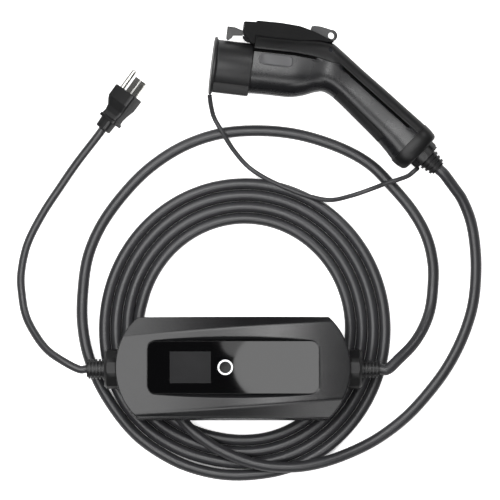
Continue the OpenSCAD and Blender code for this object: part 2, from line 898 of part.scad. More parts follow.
module handle_body() {
    color(black_gloss) in_connector() difference() {
        intersection() {
            handle_form(shell_step);
            below_seam();
        }
        seam_grooves();
        translate([head_x - 1, 0, 0]) rotate([0, 90, 0])
            cylinder(r = nose_tail_r + slip, h = nose_tail + 1 + slip);
        translate([head_x, 0, 0]) rotate([0, 90, 0]) cylinder(r = nose_room_r, h = nose_tail + nose_room);
        handle_channel(slip);
        insert_form(slip);
    }
}

module handle_back() {
    color(black_matte) in_connector() difference() {
        intersection() {
            handle_form(0);
            above_seam();
        }
        above_deck();
        translate([slot_x[0], slot_low, -slot_w / 2]) cube([slot_x[1] - slot_x[0], reach, slot_w]);
        at_handle_screw() cylinder(r = handle_screw_head_r + slip, h = head_w);
    }
}

// Rubber insert let into the inside of the grip
insert_from = 104;
insert_to = 162;
insert_deep = 9;
insert_out = 8;
insert_side = 3.4;
insert_half = grip_w / 2 - insert_side;

module insert_form(clear) {
    a = grip_point(insert_from, grip_front - shell_step - insert_out);
    translate([a[0], a[1], 0]) rotate([0, 0, -grip_angle])
        translate([-clear, 0, -insert_half - clear])
        cube([
            insert_to - insert_from + 2 * clear, insert_out + insert_deep + clear,
            2 * (insert_half + clear)
        ]);
}

module grip_insert() {
    color(black_rubber) in_connector() intersection() {
        handle_form(shell_step);
        insert_form(0);
    }
}

// Latch cover, an extruded outline hollowed for the lever
cover_front = head_x - 12;
cover_top = [
    [cover_front, deck_h + 12.2], [head_x - 0.4, deck_h + 13], [head_x, deck_h + 14.4],
    [head_x + 22, deck_h + 15], [head_x + 41, deck_h + 14.1], [head_x + 54, deck_h + 10.9],
    [head_x + 74, deck_h + 3.6]
];
shoulder_low = skirt_r + apart;
shoulder_foot = 3;
deck_back = [for (i = [len(deck_line) - 1:-1:0]) deck_line[i]];

module latch_cover_outline() {
    polygon(concat(
        [[cover_front, deck_h + 1.2]], cover_top, deck_back,
        [[head_x - slip, shoulder_low], [head_x - shoulder_foot, shoulder_low]]
    ));
}

module latch_cavity_outline() {
    w = latch_cover_wall;
    polygon([
        [cover_front - 1, shoulder_low - 1], [cover_front - 1, deck_h + 10],
        [head_x + 2, deck_h + 13 - w], [head_x + 22, deck_h + 15 - w], [head_x + 40, deck_h + 14.1 - w],
        [head_x + 50, deck_h + 20], [head_x + 84, deck_h + 20], [head_x + 84, shoulder_low - 1]
    ]);
}

module latch_cover() {
    color(black_matte) in_connector() difference() {
        translate([0, 0, -latch_cover_w / 2]) linear_extrude(latch_cover_w) latch_cover_outline();
        translate([0, 0, -slot_w / 2]) linear_extrude(slot_w) latch_cavity_outline();
        translate([latch_at[0], latch_at[1], 0])
            cylinder(r = latch_pin_d / 2 + slip / 2, h = latch_cover_w - 2, center = true);
    }
}

// Lever: hook at the front, hinge boss, thumb pad with its padlock eye
hook_x = 8.8;
module lever_arm_outline() {
    polygon([
        [hook_x, hook_low + 1.4], [hook_x + 1.6, hook_low], [hook_x + 3.4, hook_low + 0.6],
        [hook_x + 4.2, hook_low + 2.4], [hook_x + 4.2, deck_h - 0.8], [cover_front + 3, deck_h - 0.4],
        [cover_front + 8, deck_h + 2], [latch_at[0], latch_at[1] - 3], [spring_x + 8, latch_at[1] - 2.4],
        [spring_x + 12, latch_at[1] + 3], [latch_at[0], latch_at[1] + 3.6],
        [cover_front + 6, latch_at[1] + 1],
        [cover_front, deck_h + 3.4], [hook_x + 7, deck_h + 5.8], [hook_x, deck_h + 5.8]
    ]);
    translate(latch_at) circle(latch_boss_r);
}

module lever_pad_outline() {
    r = padlock_d / 2 + padlock_rim;
    polygon([
        [head_x + 50.5, latch_at[1] - 1.6], [head_x + 52.2, deck_h + 15.6], [head_x + 54.5, deck_h + 16.3],
        [head_x + 61, deck_h + 16.2], [padlock_at[0] - 1, padlock_at[1] + r], [padlock_at[0], padlock_at[1]],
        [padlock_at[0] - 1, padlock_at[1] - r]
    ]);
    translate(padlock_at) circle(r);
}

module latch_lever() {
    color(black_rubber) in_connector() difference() {
        union() {
            translate([0, 0, -lever_w / 2]) linear_extrude(lever_w) lever_arm_outline();
            translate([0, 0, -pad_w / 2]) linear_extrude(pad_w) lever_pad_outline();
        }
        translate([latch_at[0], latch_at[1], 0])
            cylinder(r = latch_pin_d / 2 + slip / 2, h = pad_w + 2, center = true);
        translate([padlock_at[0], padlock_at[1], 0])
            cylinder(r = padlock_d / 2, h = pad_w + 2, center = true);
    }
}

module latch_pin() {
    color(steel) in_connector() translate([latch_at[0], latch_at[1], 0])
        cylinder(r = latch_pin_d / 2, h = latch_cover_w - 2.2, center = true);
}

// Return spring between the slot's floor and the lever
module latch_spring() {
    h = latch_at[1] - 2.5 - slot_low - apart - 2 * spring_wire_r - 0.2;
    n = spring_turns * spring_steps;
    path = [for (k = [0:n]) let (a = 360 * k / spring_steps)
        [spring_r * cos(a), spring_r * sin(a), h * k / n]];
    color(steel) in_connector() translate([spring_x, slot_low + spring_wire_r + 0.05, 0]) rotate([-90, 0, 0])
        skin(tube(path, spring_wire_r, spring_sides));
}

module latch_switch() {
    color(black_rubber) in_connector()
        translate([latch_switch_x, slot_low + latch_switch_size[1] / 2, 0])
            cube(latch_switch_size, center = true);
}

// Nose and its contacts
module at_power() {
    for (z = [-1, 1]) translate([0, power_at[1], z * power_at[0]]) rotate([0, 90, 0]) children();
}

module at_earth() {
    translate([0, earth_at[1], earth_at[0]]) rotate([0, 90, 0]) children();
}

module at_signal() {
    for (z = [-1, 1]) translate([0, signal_at[1], z * signal_at[0]]) rotate([0, 90, 0]) children();
}

module contact(r, bore) {
    difference() {
        translate([0, 0, contact_front]) cylinder(r = r, h = contact_back - contact_front);
        translate([0, 0, contact_front - 1]) cylinder(r = bore, h = 24);
    }
}

module socket(r, bore) {
    translate([0, 0, nose_x - 1]) cylinder(r = bore + 0.4, h = contact_front - nose_x + 2);
    translate([0, 0, contact_front]) cylinder(r = r + slip / 2, h = contact_back);
}

module nose_insulator() {
    rim_wall = 2.2;
    color(black_matte) in_connector() difference() {
        rotate([0, 90, 0]) rotate_extrude() polygon([
            [0, nose_x + nose_dish], [nose_r - rim_wall, nose_x + nose_dish], [nose_r - rim_wall, nose_x],
            [nose_r - 0.8, nose_x], [nose_r, nose_x + 0.8], [nose_r, head_x - slip],
            [nose_tail_r, head_x - slip], [nose_tail_r, head_x + nose_tail], [0, head_x + nose_tail]
        ]);
        at_power() socket(power_r, power_bore);
        at_earth() socket(earth_r, earth_bore);
        at_signal() socket(signal_r, signal_bore);
    }
}

module power_contacts() {
    color(brass) in_connector() at_power() contact(power_r, power_bore);
}

module earth_contact() {
    color(brass) in_connector() at_earth() contact(earth_r, earth_bore);
}

module signal_contacts() {
    color(brass) in_connector() at_signal() contact(signal_r, signal_bore);
}

module handle_wires() {
    color(wire_brown) in_connector() handle_channel(0);
}

module handle_screw() {
    color(steel) in_connector() at_handle_screw() cylinder(r = handle_screw_head_r, h = handle_screw_head_t);
}

// Matte collar at the end of the grip
collar_stations = [
    grip_station(grip_end + slip, grip_front - grip_flare, grip_back + back_flare + 0.2, collar_half_w),
    grip_station(
        grip_end + collar_len * 0.5, grip_front - grip_flare + 0.2, grip_back + back_flare, collar_half_w
    ),
    grip_station(collar_end - 2.4, grip_front - 2.2, grip_back + 1.2, collar_half_w - 0.2),
    grip_station(collar_end, grip_front + 0.2, grip_back - 0.6, collar_half_w - 2.2)
];

module end_collar() {
    color(black_matte) in_connector() difference() {
        skin([for (st = collar_stations) handle_ring(st, 0)]);
        on_grip(grip_end - 2) cylinder(r = core_r + slip, h = collar_len + 4);
    }
}

module connector_gland_nut() {
    notch_count = 10;
    notch_w = 3;
    color(black_rubber) in_connector() on_grip(collar_end) difference() {
        cylinder(r = nut_tail_r, h = nut_tail_len);
        for (k = [0:notch_count - 1]) rotate([0, 0, 360 * k / notch_count])
            translate([nut_tail_r - 2, -notch_w / 2, 1.2]) cube([6, notch_w, nut_tail_len]);
    }
}

module connector_relief() {
    color(black_rubber) in_connector() on_grip(nut_end)
        ribbed_sleeve(tail_len, tail_r, tail_end_r, cable_d / 2 + apart, tail_ribs);
}

// Ring of the strap, round the foot of the ribbed sleeve
module tether_ring() {
    color(black_rubber) in_connector() on_grip(nut_end) difference() {
        cylinder(r = tail_r + ring_t, h = ring_t);
        translate([0, 0, -1]) cylinder(r = tail_r + slip, h = ring_t + 2);
    }
}

// Dust cap: rim, skirt and squared key along its underside
module dust_cap() {
    color(black_rubber) in_connector() difference() {
        union() {
            rotate([0, 90, 0]) rotate_extrude() polygon([
                [0, 0], [rim_r - rim_edge, 0], [rim_r, rim_edge],
                [rim_r, rim_t - rim_edge], [rim_r - rim_edge, rim_t],
                [skirt_r, rim_t], [skirt_r, cap_len - 0.6], [skirt_r - 0.6, cap_len], [0, cap_len]
            ]);
            translate([rim_t - eps, key_low, -key_half])
                cube([cap_len - rim_t - 0.8, key_top - key_low, 2 * key_half]);
        }
        translate([rim_t, 0, 0]) rotate([0, 90, 0]) cylinder(r = nose_r + apart, h = cap_len);
    }
}

// Strap of the cap
module cap_tether() {
    color(black_rubber) in_plan() skin(tube(tether_path, strap_d / 2, thin_sides));
}

// Cables
module main_cable_coil() {
    wide = coil_out - coil_in - cable_d;
    color(cable_black) in_plan() translate([coil_at[0], coil_at[1], 0]) rotate_extrude($fn = 120)
        translate([coil_in + turn_r, 0]) {
            square([wide, cable_d]);
            translate([0, turn_r]) circle(turn_r);
            translate([wide, turn_r]) circle(turn_r);
        }
}

module output_lead() {
    color(cable_black) in_plan() skin(tube(output_path, turn_r, tube_sides));
}

module connector_lead() {
    color(cable_black) in_plan() skin(tube(connector_path, turn_r, tube_sides));
}

module supply_cord() {
    color(cable_black) in_plan() skin(tube(supply_path, cord_d / 2, tube_sides));
}

// Plug: stations along its body, with half widths to the pin and away from it, and half height
plug_stations = [
    [0, plug_w / 2 - 0.7, plug_w / 2 - 0.7, plug_h / 2 - 0.5],
    [-1, plug_w / 2, plug_w / 2, plug_h / 2],
    [-plug_len * 0.38, plug_w / 2, plug_w / 2 - 0.5, plug_h / 2],
    [-plug_len * 0.48, plug_w / 2 - 1.3, plug_w / 2 - 1.1, plug_h / 2 - 1.3],
    [-plug_len * 0.62, plug_w / 2 - 4.1, plug_w / 2 - 1.7, plug_h / 2 - 3.1],
    [-plug_len * 0.77, plug_w / 2 - 5.1, plug_w / 2 - 2.5, plug_h / 2 - 3.5],
    [-plug_len * 0.89, plug_w / 2 - 4.7, plug_w / 2 - 2.7, plug_h / 2 - 2.7],
    [-plug_len * 0.92, plug_w / 2 - 3.9, plug_w / 2 - 1.5, plug_h / 2 - 1.3],
    [-plug_len, plug_w / 2 - 4.1, plug_w / 2 - 1.7, plug_h / 2 - 1.5]
];
neck_stations = [
    [-plug_len + 1, plug_neck_r, plug_neck_r, plug_neck_r],
    [-plug_len - plug_neck_len + 1, plug_neck_r - 0.4, plug_neck_r - 0.4, plug_neck_r - 0.4],
    [-plug_len - plug_neck_len, plug_neck_r - 1.2, plug_neck_r - 1.2, plug_neck_r - 1.2]
];
function plug_ring(st, power) = [for (k = [0:plug_sides - 1]) let (a = -360 * k / plug_sides)
    [st[0], (cos(a) > 0 ? st[1] : st[2]) * bend(cos(a), power), st[3] * bend(sin(a), power)]];

module plug_body() {
    color(black_rubber) in_plug() difference() {
        union() {
            skin([for (st = plug_stations) plug_ring(st, plug_power)]);
            skin([for (st = neck_stations) plug_ring(st, neck_power)]);
        }
        translate([-blade_seat, earth_y, 0]) rotate([0, 90, 0])
            cylinder(r = pin_root_r + slip / 2, h = blade_seat + 1);
        for (z = [-1, 1]) translate([-blade_seat / 2 + 0.5, blade_y, z * blade_gap / 2])
            cube([blade_seat + 1, blade_wid + slip, blade_t + slip], center = true);
    }
}

module plug_blades() {
    color(brass) in_plug() for (z = [-1, 1])
        translate([-blade_seat, blade_y - blade_wid / 2, z * blade_gap / 2 - blade_t / 2])
        cube([blade_len + blade_seat, blade_wid, blade_t]);
}

module plug_earth_pin() {
    pin_r = earth_d / 2;
    color(brass) in_plug() translate([0, earth_y, 0]) rotate([0, 90, 0]) rotate_extrude() polygon([
        [0, -blade_seat], [pin_root_r, -blade_seat], [pin_root_r, pin_step], [pin_r, pin_step],
        [pin_r, earth_len - pin_tip], [pin_r - pin_tip, earth_len], [0, earth_len]
    ]);
}

box_base();
box_cover();
box_seal();
box_screws();
front_panel();
display_window();
display_module();
button_ring();
set_button();
button_switch();
display_board();
circuit_board();
power_relays();
current_sensor();
power_supply();
supply_terminals();
output_terminals();
supply_wires();
output_wires();
supply_gland_nut();
supply_relief();
output_gland_nut();
output_relief();
handle_body();
handle_back();
grip_insert();
latch_cover();
latch_lever();
latch_pin();
latch_spring();
latch_switch();
nose_insulator();
power_contacts();
earth_contact();
signal_contacts();
handle_wires();
handle_screw();
end_collar();
connector_gland_nut();
connector_relief();
dust_cap();
cap_tether();
tether_ring();
main_cable_coil();
output_lead();
connector_lead();
supply_cord();
plug_body();
plug_blades();
plug_earth_pin();
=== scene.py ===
"""Looks of a portable vehicle charger: control box, coiled cable, latched connector and mains plug.

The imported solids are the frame. They stay where they are, and each finer piece rides on the body of
the solid that it stands for. Lengths inside a sub-assembly are millimetres in its own frame.
"""
import json
import logging
import math
from collections.abc import Sequence
from dataclasses import dataclass
from enum import Enum

import bmesh
import bpy
from mathutils import Matrix, Vector
from mathutils.bvhtree import BVHTree


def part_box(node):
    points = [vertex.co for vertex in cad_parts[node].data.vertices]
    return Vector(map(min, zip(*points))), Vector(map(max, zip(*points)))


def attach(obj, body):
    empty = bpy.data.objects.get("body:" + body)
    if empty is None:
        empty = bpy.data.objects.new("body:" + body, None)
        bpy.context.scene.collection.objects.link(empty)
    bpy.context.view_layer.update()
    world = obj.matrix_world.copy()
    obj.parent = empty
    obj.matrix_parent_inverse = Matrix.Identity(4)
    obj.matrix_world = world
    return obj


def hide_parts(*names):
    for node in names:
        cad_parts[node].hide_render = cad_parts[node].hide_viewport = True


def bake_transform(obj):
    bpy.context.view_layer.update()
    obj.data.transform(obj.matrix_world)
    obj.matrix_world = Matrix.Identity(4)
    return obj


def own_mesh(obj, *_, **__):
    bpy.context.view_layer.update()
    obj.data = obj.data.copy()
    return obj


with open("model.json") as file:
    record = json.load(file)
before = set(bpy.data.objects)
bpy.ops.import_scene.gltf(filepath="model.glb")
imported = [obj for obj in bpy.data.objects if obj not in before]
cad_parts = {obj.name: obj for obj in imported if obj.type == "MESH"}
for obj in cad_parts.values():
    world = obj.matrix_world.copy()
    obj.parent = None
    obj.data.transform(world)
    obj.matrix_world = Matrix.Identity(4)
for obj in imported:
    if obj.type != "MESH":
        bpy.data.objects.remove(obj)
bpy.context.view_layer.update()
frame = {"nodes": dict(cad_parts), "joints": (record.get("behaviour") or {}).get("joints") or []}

MM = 0.001
LOG = logging.getLogger("charger")
Pair = tuple[float, float]
Triple = tuple[float, float, float]
Point = Triple
Corners = tuple[Pair, ...]
Sockets = dict[str | int, bpy.types.NodeSocket]

# Part of its range that a noise texture mostly keeps to
NOISE_RANGE = (0.3, 0.7)
# Corners closer than this, in metres, become one
MERGE_DISTANCE = 1e-7
# Cross product under which two lines count as parallel
PARALLEL = 1e-9
# Blender's number for how finely a cord is rounded
CORD_ROUNDNESS = 6


class Body(Enum):
    """Bodies of the part that pieces ride on."""

    ROOT = "root"
    LATCH = "latch"
    CAP = "cap"


class Slot(Enum):
    """Material slots of the part's record."""

    SHELL = "matte_shell"
    PANEL = "gloss_panel"
    HANDLE = "gloss_handle"
    RUBBER = "moulded_rubber"
    JACKET = "cable_jacket"
    STEEL = "zinc_steel"
    PRONGS = "plated_prongs"
    BRASS = "contact_brass"
    BOARD = "circuit_board"
    BLUE = "blue_housing"
    GREEN = "green_housing"
    BLACK = "black_housing"
    WIRE = "wire_cover"
    GLASS = "display_glass"
    RING = "light_ring"


class Outline(Enum):
    """Outlines that the box's cover is built between."""

    BOX = "box"
    PANEL = "panel"


class LampShape(Enum):
    """Shapes of a soft box's face."""

    RECTANGLE = "RECTANGLE"
    ELLIPSE = "ELLIPSE"


def clamp(value: float, least: float = 0.0, most: float = 1.0) -> float:
    """Keep a value between two others."""
    return max(least, min(most, value))


def linear(colour: str) -> tuple[float, float, float, float]:
    """Turn a screen colour into the renderer's linear light.

    Args:
        colour: Six hex digits after a hash sign.

    Returns:
        Red, green, blue and a full alpha.
    """
    parts = [int(colour[i:i + 2], 16) / 255 for i in (1, 3, 5)]
    red, green, blue = [p / 12.92 if p <= 0.04045 else ((p + 0.055) / 1.055) ** 2.4 for p in parts]
    return red, green, blue, 1.0


def add_node(tree: bpy.types.NodeTree, kind: str, values: dict[str, object] | None = None,
             links: Sockets | None = None, **settings: object) -> bpy.types.Node:
    """Add one node with its settings, socket values and links.

    Args:
        tree: Tree that gets the node.
        kind: Blender's name for the kind of node.
        values: Socket values by socket name.
        links: Sockets to join to this node's inputs, by input name or number.
        **settings: Properties of the node itself.

    Returns:
        The new node.
    """
    node = tree.nodes.new(kind)
    for name, value in settings.items():
        setattr(node, name, value)
    for name, value in (values or {}).items():
        node.inputs[name].default_value = value
    for name, socket in (links or {}).items():
        tree.links.new(socket, node.inputs[name])
    return node


@dataclass(frozen=True)
class Finish:
    """A real material and how its surface was made.

    Real mould textures are mostly under a tenth of a millimetre, too fine to show in the render, so
    each grain here is drawn as coarse as it needs to show.

    Attributes:
        name: Name of the material.
        slot: Slot of the record that it belongs to; not used.
        colour: Main colour.
        tone: Colour that the main one drifts to.
        rough: Least and greatest roughness.
        grain: Size of the surface grain in millimetres.
        depth: Depth of the grain in millimetres.
        drift: Size of the slow drift of colour and roughness in millimetres.
        stretch: How far the grain is drawn out along each axis.
        metal: One for bare metal.
        ior: Index of refraction, near 1.5 for moulded plastic, rubber and glass; a metal keeps the default.
        gloss: Strength of the mirror part of a surface that is no metal.
        glow: Strength of the surface's own light.
    """

    name: str
    slot: Slot
    colour: str
    tone: str
    rough: Pair
    grain: float
    depth: float
    drift: float = 24.0
    stretch: Triple = (1.0, 1.0, 1.0)
    metal: float = 0.0
    ior: float = 1.5
    gloss: float = 0.5
    glow: float = 0.0

    def material(self) -> bpy.types.Material:
        """Build the material once.

        Returns:
            The material, new or already there.
        """
        if self.name in bpy.data.materials:
            return bpy.data.materials[self.name]
        made = bpy.data.materials.new(self.name)
        made.use_nodes = True
        tree = made.node_tree
        tree.nodes.clear()
        where = add_node(tree, "ShaderNodeTexCoord").outputs["Object"]
        slow = add_node(tree, "ShaderNodeTexNoise", {"Scale": 1 / (self.drift * MM), "Detail": 3.0},
                        {"Vector": where}).outputs["Fac"]
        drawn = add_node(tree, "ShaderNodeMapping", {"Scale": [1 / s for s in self.stretch]},
                         {"Vector": where}).outputs["Vector"]
        fine = add_node(tree, "ShaderNodeTexNoise", {"Scale": 1 / (self.grain * MM), "Detail": 2.0},
                        {"Vector": drawn}).outputs["Fac"]
        hue = add_node(tree, "ShaderNodeMixRGB", {"Color1": linear(self.colour), "Color2": linear(self.tone)},
                       {"Fac": slow}).outputs["Color"]
        rough = add_node(tree, "ShaderNodeMapRange",
                         {"From Min": NOISE_RANGE[0], "From Max": NOISE_RANGE[1],
                          "To Min": self.rough[0], "To Max": self.rough[1]},
                         {"Value": slow}).outputs["Result"]
        bump = add_node(tree, "ShaderNodeBump", {"Strength": 1.0, "Distance": self.depth * MM},
                        {"Height": fine}).outputs["Normal"]
        skin = add_node(tree, "ShaderNodeBsdfPrincipled",
                        {"Metallic": self.metal, "IOR": self.ior, "Specular IOR Level": self.gloss,
                         "Emission Color": linear(self.colour), "Emission Strength": self.glow},
                        {"Base Color": hue, "Roughness": rough, "Normal": bump})
        add_node(tree, "ShaderNodeOutputMaterial", None, {"Surface": skin.outputs["BSDF"]})
        return made


# Spark-eroded mould texture: a dry black with a fine sparkle on the box's faces
SHELL_ABS = Finish("textured_abs_shell", Slot.SHELL, "#0c0c0e", "#101012", (0.23, 0.27), 0.35, 0.003)
# Polished acrylic printed black behind: a deep mirror
PANEL_ACRYLIC = Finish("polished_acrylic_panel", Slot.PANEL, "#040405", "#060607", (0.02, 0.03), 2.0, 0.0002)
# Fine-matt button cap: a black that takes little mirror from the room
BUTTON_ABS = Finish("fine_matt_abs_button", Slot.PANEL, "#060607", "#0a0a0b", (0.34, 0.40), 0.4, 0.002,
                    gloss=0.25)
# Semi-gloss moulded ABS: long soft highlights along the grip
HANDLE_ABS = Finish("semi_gloss_abs_handle", Slot.HANDLE, "#141416", "#19191b", (0.24, 0.30), 0.8, 0.0006)
# Soft-touch coat on the handle's back and collar and on the box's nuts: a black with a faint highlight
SOFT_ABS = Finish("soft_touch_abs_back", Slot.SHELL, "#0a0a0b", "#0e0e0f", (0.38, 0.44), 0.3, 0.005,
                  gloss=0.35)
# The same coat, worn duller by handling, over the latch: nearly no highlight
COVER_ABS = Finish("dull_soft_touch_abs_cover", Slot.SHELL, "#0a0a0b", "#0e0e0f", (0.42, 0.48), 0.3, 0.005,
                   gloss=0.1)
# Moulded rubber with a satin skin: broad dim highlights on a charcoal grey
CAP_RUBBER = Finish("satin_moulded_rubber", Slot.RUBBER, "#1b1b1c", "#212122", (0.36, 0.44), 0.5, 0.003)
# The same rubber on the key under the cap, painted darker as shade, rougher and with little mirror
KEY_SHADE_RUBBER = Finish("shaded_key_rubber", Slot.RUBBER, "#0f0f10", "#141415", (0.44, 0.52), 0.5, 0.006,
                    gloss=0.3)
# Extruded strap: a dull grey, paler than the cap
STRAP_RUBBER = Finish("extruded_rubber_strap", Slot.RUBBER, "#333335", "#3b3b3d", (0.38, 0.46), 0.5, 0.004)
# Drawn thermoplastic jacket: a dark grey satin with a faint unevenness
JACKET_TPE = Finish("drawn_tpe_jacket", Slot.JACKET, "#2b2b2d", "#333336", (0.34, 0.40), 0.7, 0.004,
                    gloss=0.65)
# Vinyl moulded over the plug: a soft satin that shows its form
PLUG_PVC = Finish("moulded_vinyl_plug", Slot.JACKET, "#0f0f10", "#141415", (0.36, 0.44), 0.6, 0.004)
# Polyester of the nose under the cap, moulded smooth: an even dark satin
NOSE_PBT = Finish("moulded_polyester_nose", Slot.SHELL, "#131315", "#18181a", (0.28, 0.36), 0.6, 0.002)
# Bright nickel plate on rolled brass: a pale shine with faint rolling lines
NICKEL = Finish("nickel_plated_brass", Slot.PRONGS, "#d9d8d4", "#c9c8c2", (0.16, 0.24), 0.3, 0.001, metal=1.0,
                stretch=(6.0, 1.0, 1.0))
# Zinc-plated steel of screws, pin and spring: a cool grey shine
ZINC = Finish("zinc_plated_steel", Slot.STEEL, "#b4b6b8", "#a2a5a8", (0.25, 0.36), 0.4, 0.002, metal=1.0)
# Zinc plate with a black passivation, on the screw down the handle's hole: a dark metal sheen
BLACK_ZINC = Finish("black_passivated_zinc_steel", Slot.STEEL, "#1c1d1f", "#26272a", (0.38, 0.48), 0.4, 0.002,
                    metal=1.0)
# Turned brass contacts: a warm yellow shine
BRASS = Finish("turned_brass", Slot.BRASS, "#c9a453", "#b58f42", (0.2, 0.32), 0.3, 0.002, metal=1.0)
# Solder-masked glass-fibre board: a green satin
BOARD = Finish("solder_masked_board", Slot.BOARD, "#1f5a3a", "#17492e", (0.3, 0.4), 1.2, 0.01)
# Moulded nylon housings of what stands on the board: flat colours with a soft satin
BLUE_NYLON = Finish("moulded_blue_nylon", Slot.BLUE, "#2b4c7e", "#243f6b", (0.35, 0.45), 0.6, 0.004)
GREEN_NYLON = Finish("moulded_green_nylon", Slot.GREEN, "#2f6e4f", "#275c42", (0.35, 0.45), 0.6, 0.004)
BLACK_NYLON = Finish("moulded_black_nylon", Slot.BLACK, "#232427", "#1a1b1d", (0.35, 0.45), 0.6, 0.004)
# Drawn vinyl cover of the wires: a brown satin
WIRE_VINYL = Finish("drawn_vinyl_wire_cover", Slot.WIRE, "#5a3a26", "#4a2f1f", (0.3, 0.4), 0.6, 0.003)
# Fine-textured rubber let into the grip: a dry black
GRIP_RUBBER = Finish("textured_grip_rubber", Slot.RUBBER, "#101011", "#151516", (0.45, 0.55), 0.5, 0.008)
# Painted shade in the gap round that rubber, which the light doesn't reach: a thin black line
GAP_SHADE_PAINT = Finish("painted_gap_shade", Slot.RUBBER, "#040404", "#060606", (0.8, 0.9), 0.5, 0.004)
# Painted shade on the floor of the groove under the seam: a black line that keeps its depth
GROOVE_SHADE_PAINT = Finish("painted_groove_shade", Slot.HANDLE, "#040404", "#060606", (0.8, 0.9), 0.5, 0.004,
                 gloss=0.1)
# Bare moulded plate, blasted fine: a shade paler than the body round it
PLATE_ABS = Finish("fine_blasted_abs_plate", Slot.HANDLE, "#2e2e31", "#353538", (0.30, 0.36), 0.3, 0.003)
# Smoked window over the display: a shade lighter than the panel round it
SMOKED_GLASS = Finish("smoked_display_glass", Slot.GLASS, "#2a2a2b", "#323233", (0.04, 0.05), 2.0, 0.0002)
# Frosted white diffuser of the lit ring: an even white that glows a little
DIFFUSER = Finish("frosted_white_diffuser", Slot.RING, "#f2f3f4", "#e6e8ea", (0.35, 0.45), 0.3, 0.002,
                  glow=0.55)

# Solids that wear each finish
NODE_FINISHES: dict[Finish, tuple[str, ...]] = {
    SHELL_ABS: ("box_base", "box_cover"),
    PANEL_ACRYLIC: ("front_panel",),
    BUTTON_ABS: ("set_button",),
    SMOKED_GLASS: ("display_window", "display_module"),
    DIFFUSER: ("button_ring",),
    HANDLE_ABS: ("handle_body",),
    SOFT_ABS: ("handle_back", "end_collar", "supply_gland_nut", "output_gland_nut"),
    COVER_ABS: ("latch_cover",),
    CAP_RUBBER: ("box_seal", "supply_relief", "output_relief", "grip_insert", "latch_lever",
                 "connector_gland_nut", "connector_relief", "dust_cap", "cap_tether", "tether_ring"),
    PLUG_PVC: ("plug_body",),
    NOSE_PBT: ("nose_insulator",),
    JACKET_TPE: ("main_cable_coil", "output_lead", "connector_lead", "supply_cord"),
    NICKEL: ("plug_blades", "plug_earth_pin"),
    ZINC: ("box_screws", "latch_pin", "latch_spring"),
    BLACK_ZINC: ("handle_screw",),
    BRASS: ("power_contacts", "earth_contact", "signal_contacts"),
    BOARD: ("circuit_board", "display_board"),
    BLUE_NYLON: ("power_relays", "power_supply"),
    GREEN_NYLON: ("supply_terminals", "output_terminals"),
    BLACK_NYLON: ("button_switch", "current_sensor", "latch_switch"),
    WIRE_VINYL: ("supply_wires", "output_wires", "handle_wires"),
}

# Width in millimetres of the rounded edges of solids that show as they are
EDGE_WIDTHS: dict[str, float] = {
    "front_panel": 0.3, "latch_cover": 0.6, "latch_lever": 0.6, "supply_gland_nut": 0.9,
    "output_gland_nut": 0.9, "box_base": 0.6, "plug_blades": 0.3,
}

# Middle of the lit ring in the box's frame, along and up
RING_AT = (-7.4, 46.68)
# Latch pin in the connector's frame, along and up
PIN_AT = (58.0, 38.0)
# Middle of the coil on the plan
COIL_AT = (11.0, 37.0)
# Place of the plug on the plan, its heading and its roll
PLUG_AT = (-99.0, 262.0, 13.5)
PLUG_HEADING = math.radians(54)
PLUG_ROLL = math.radians(-28)
# Slant of the grip against the nose, and its middle across
GRIP_ANGLE = math.radians(36.8)
GRIP_MID = 77.0


def joint(name: str) -> dict[str, object]:
    """Find a joint of the part by its name."""
    return next(j for j in frame["joints"] if j["name"] == name)


@dataclass(frozen=True)
class Place:
    """Frame of a sub-assembly, from its millimetres to the part's metres."""

    matrix: Matrix

    @classmethod
    def of(cls, origin: Vector, x: Vector, y: Vector, z: Vector) -> "Place":
        """Set a frame by its origin in metres and its three axes."""
        turn = Matrix((x, y, z)).transposed().to_4x4()
        return cls(Matrix.Translation(origin) @ turn @ Matrix.Scale(MM, 4))

    def at(self, x: float, y: float, z: float = 0.0) -> Vector:
        """Give the point in metres."""
        return self.matrix @ Vector((x, y, z))


def box_place() -> Place:
    """Find the control box's frame from its button and the ring round it.

    Returns:
        The frame, with x along the box and z out of the panel.
    """
    z = -Vector(joint("button_press")["axis"]).normalized()
    x = Vector((1.0, 0.0, 0.0))
    y = z.cross(x)
    low, high = (Vector(v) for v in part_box("button_ring"))
    origin = (low + high) / 2 - (RING_AT[0] * x + RING_AT[1] * z) * MM
    return Place.of(origin, x, y, z)


def connector_place() -> Place:
    """Find the connector's frame from its cap and latch.

    Returns:
        The frame, with x from the nose to the cable and z along the latch pin.
    """
    x = -Vector(joint("cap_pull")["axis"]).normalized()
    z = -Vector(joint("latch_pivot")["axis"]).normalized()
    y = z.cross(x)
    pos = Vector(joint("latch_pivot")["pos_m"])
    return Place.of(pos - (PIN_AT[0] * x + PIN_AT[1] * y) * MM, x, y, z)


def plan_place() -> Place:
    """Find the plan's frame from the middle of the coil.

    Returns:
        The frame, level with the floor.
    """
    low, high = (Vector(v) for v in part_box("main_cable_coil"))
    middle = (low + high) / 2
    origin = Vector((middle.x - COIL_AT[0] * MM, middle.y - COIL_AT[1] * MM, 0.0))
    return Place.of(origin, Vector((1, 0, 0)), Vector((0, 1, 0)), Vector((0, 0, 1)))


def plug_place(plan: Place) -> Place:
    """Set the plug's frame on the plan."""
    turn = Matrix.Rotation(PLUG_HEADING, 3, "Z") @ Matrix.Rotation(PLUG_ROLL, 3, "X")
    return Place.of(plan.at(*PLUG_AT), turn.col[0], turn.col[1], turn.col[2])


def grip_point(along: float, across: float) -> Pair:
    """Give a point of the connector from its place along and across the grip.

    Args:
        along: Place along the grip.
        across: Place across the grip.

    Returns:
        The point in the connector's frame.
    """
    x = along * math.cos(GRIP_ANGLE) + across * math.sin(GRIP_ANGLE)
    y = across * math.cos(GRIP_ANGLE) - along * math.sin(GRIP_ANGLE)
    return x, y


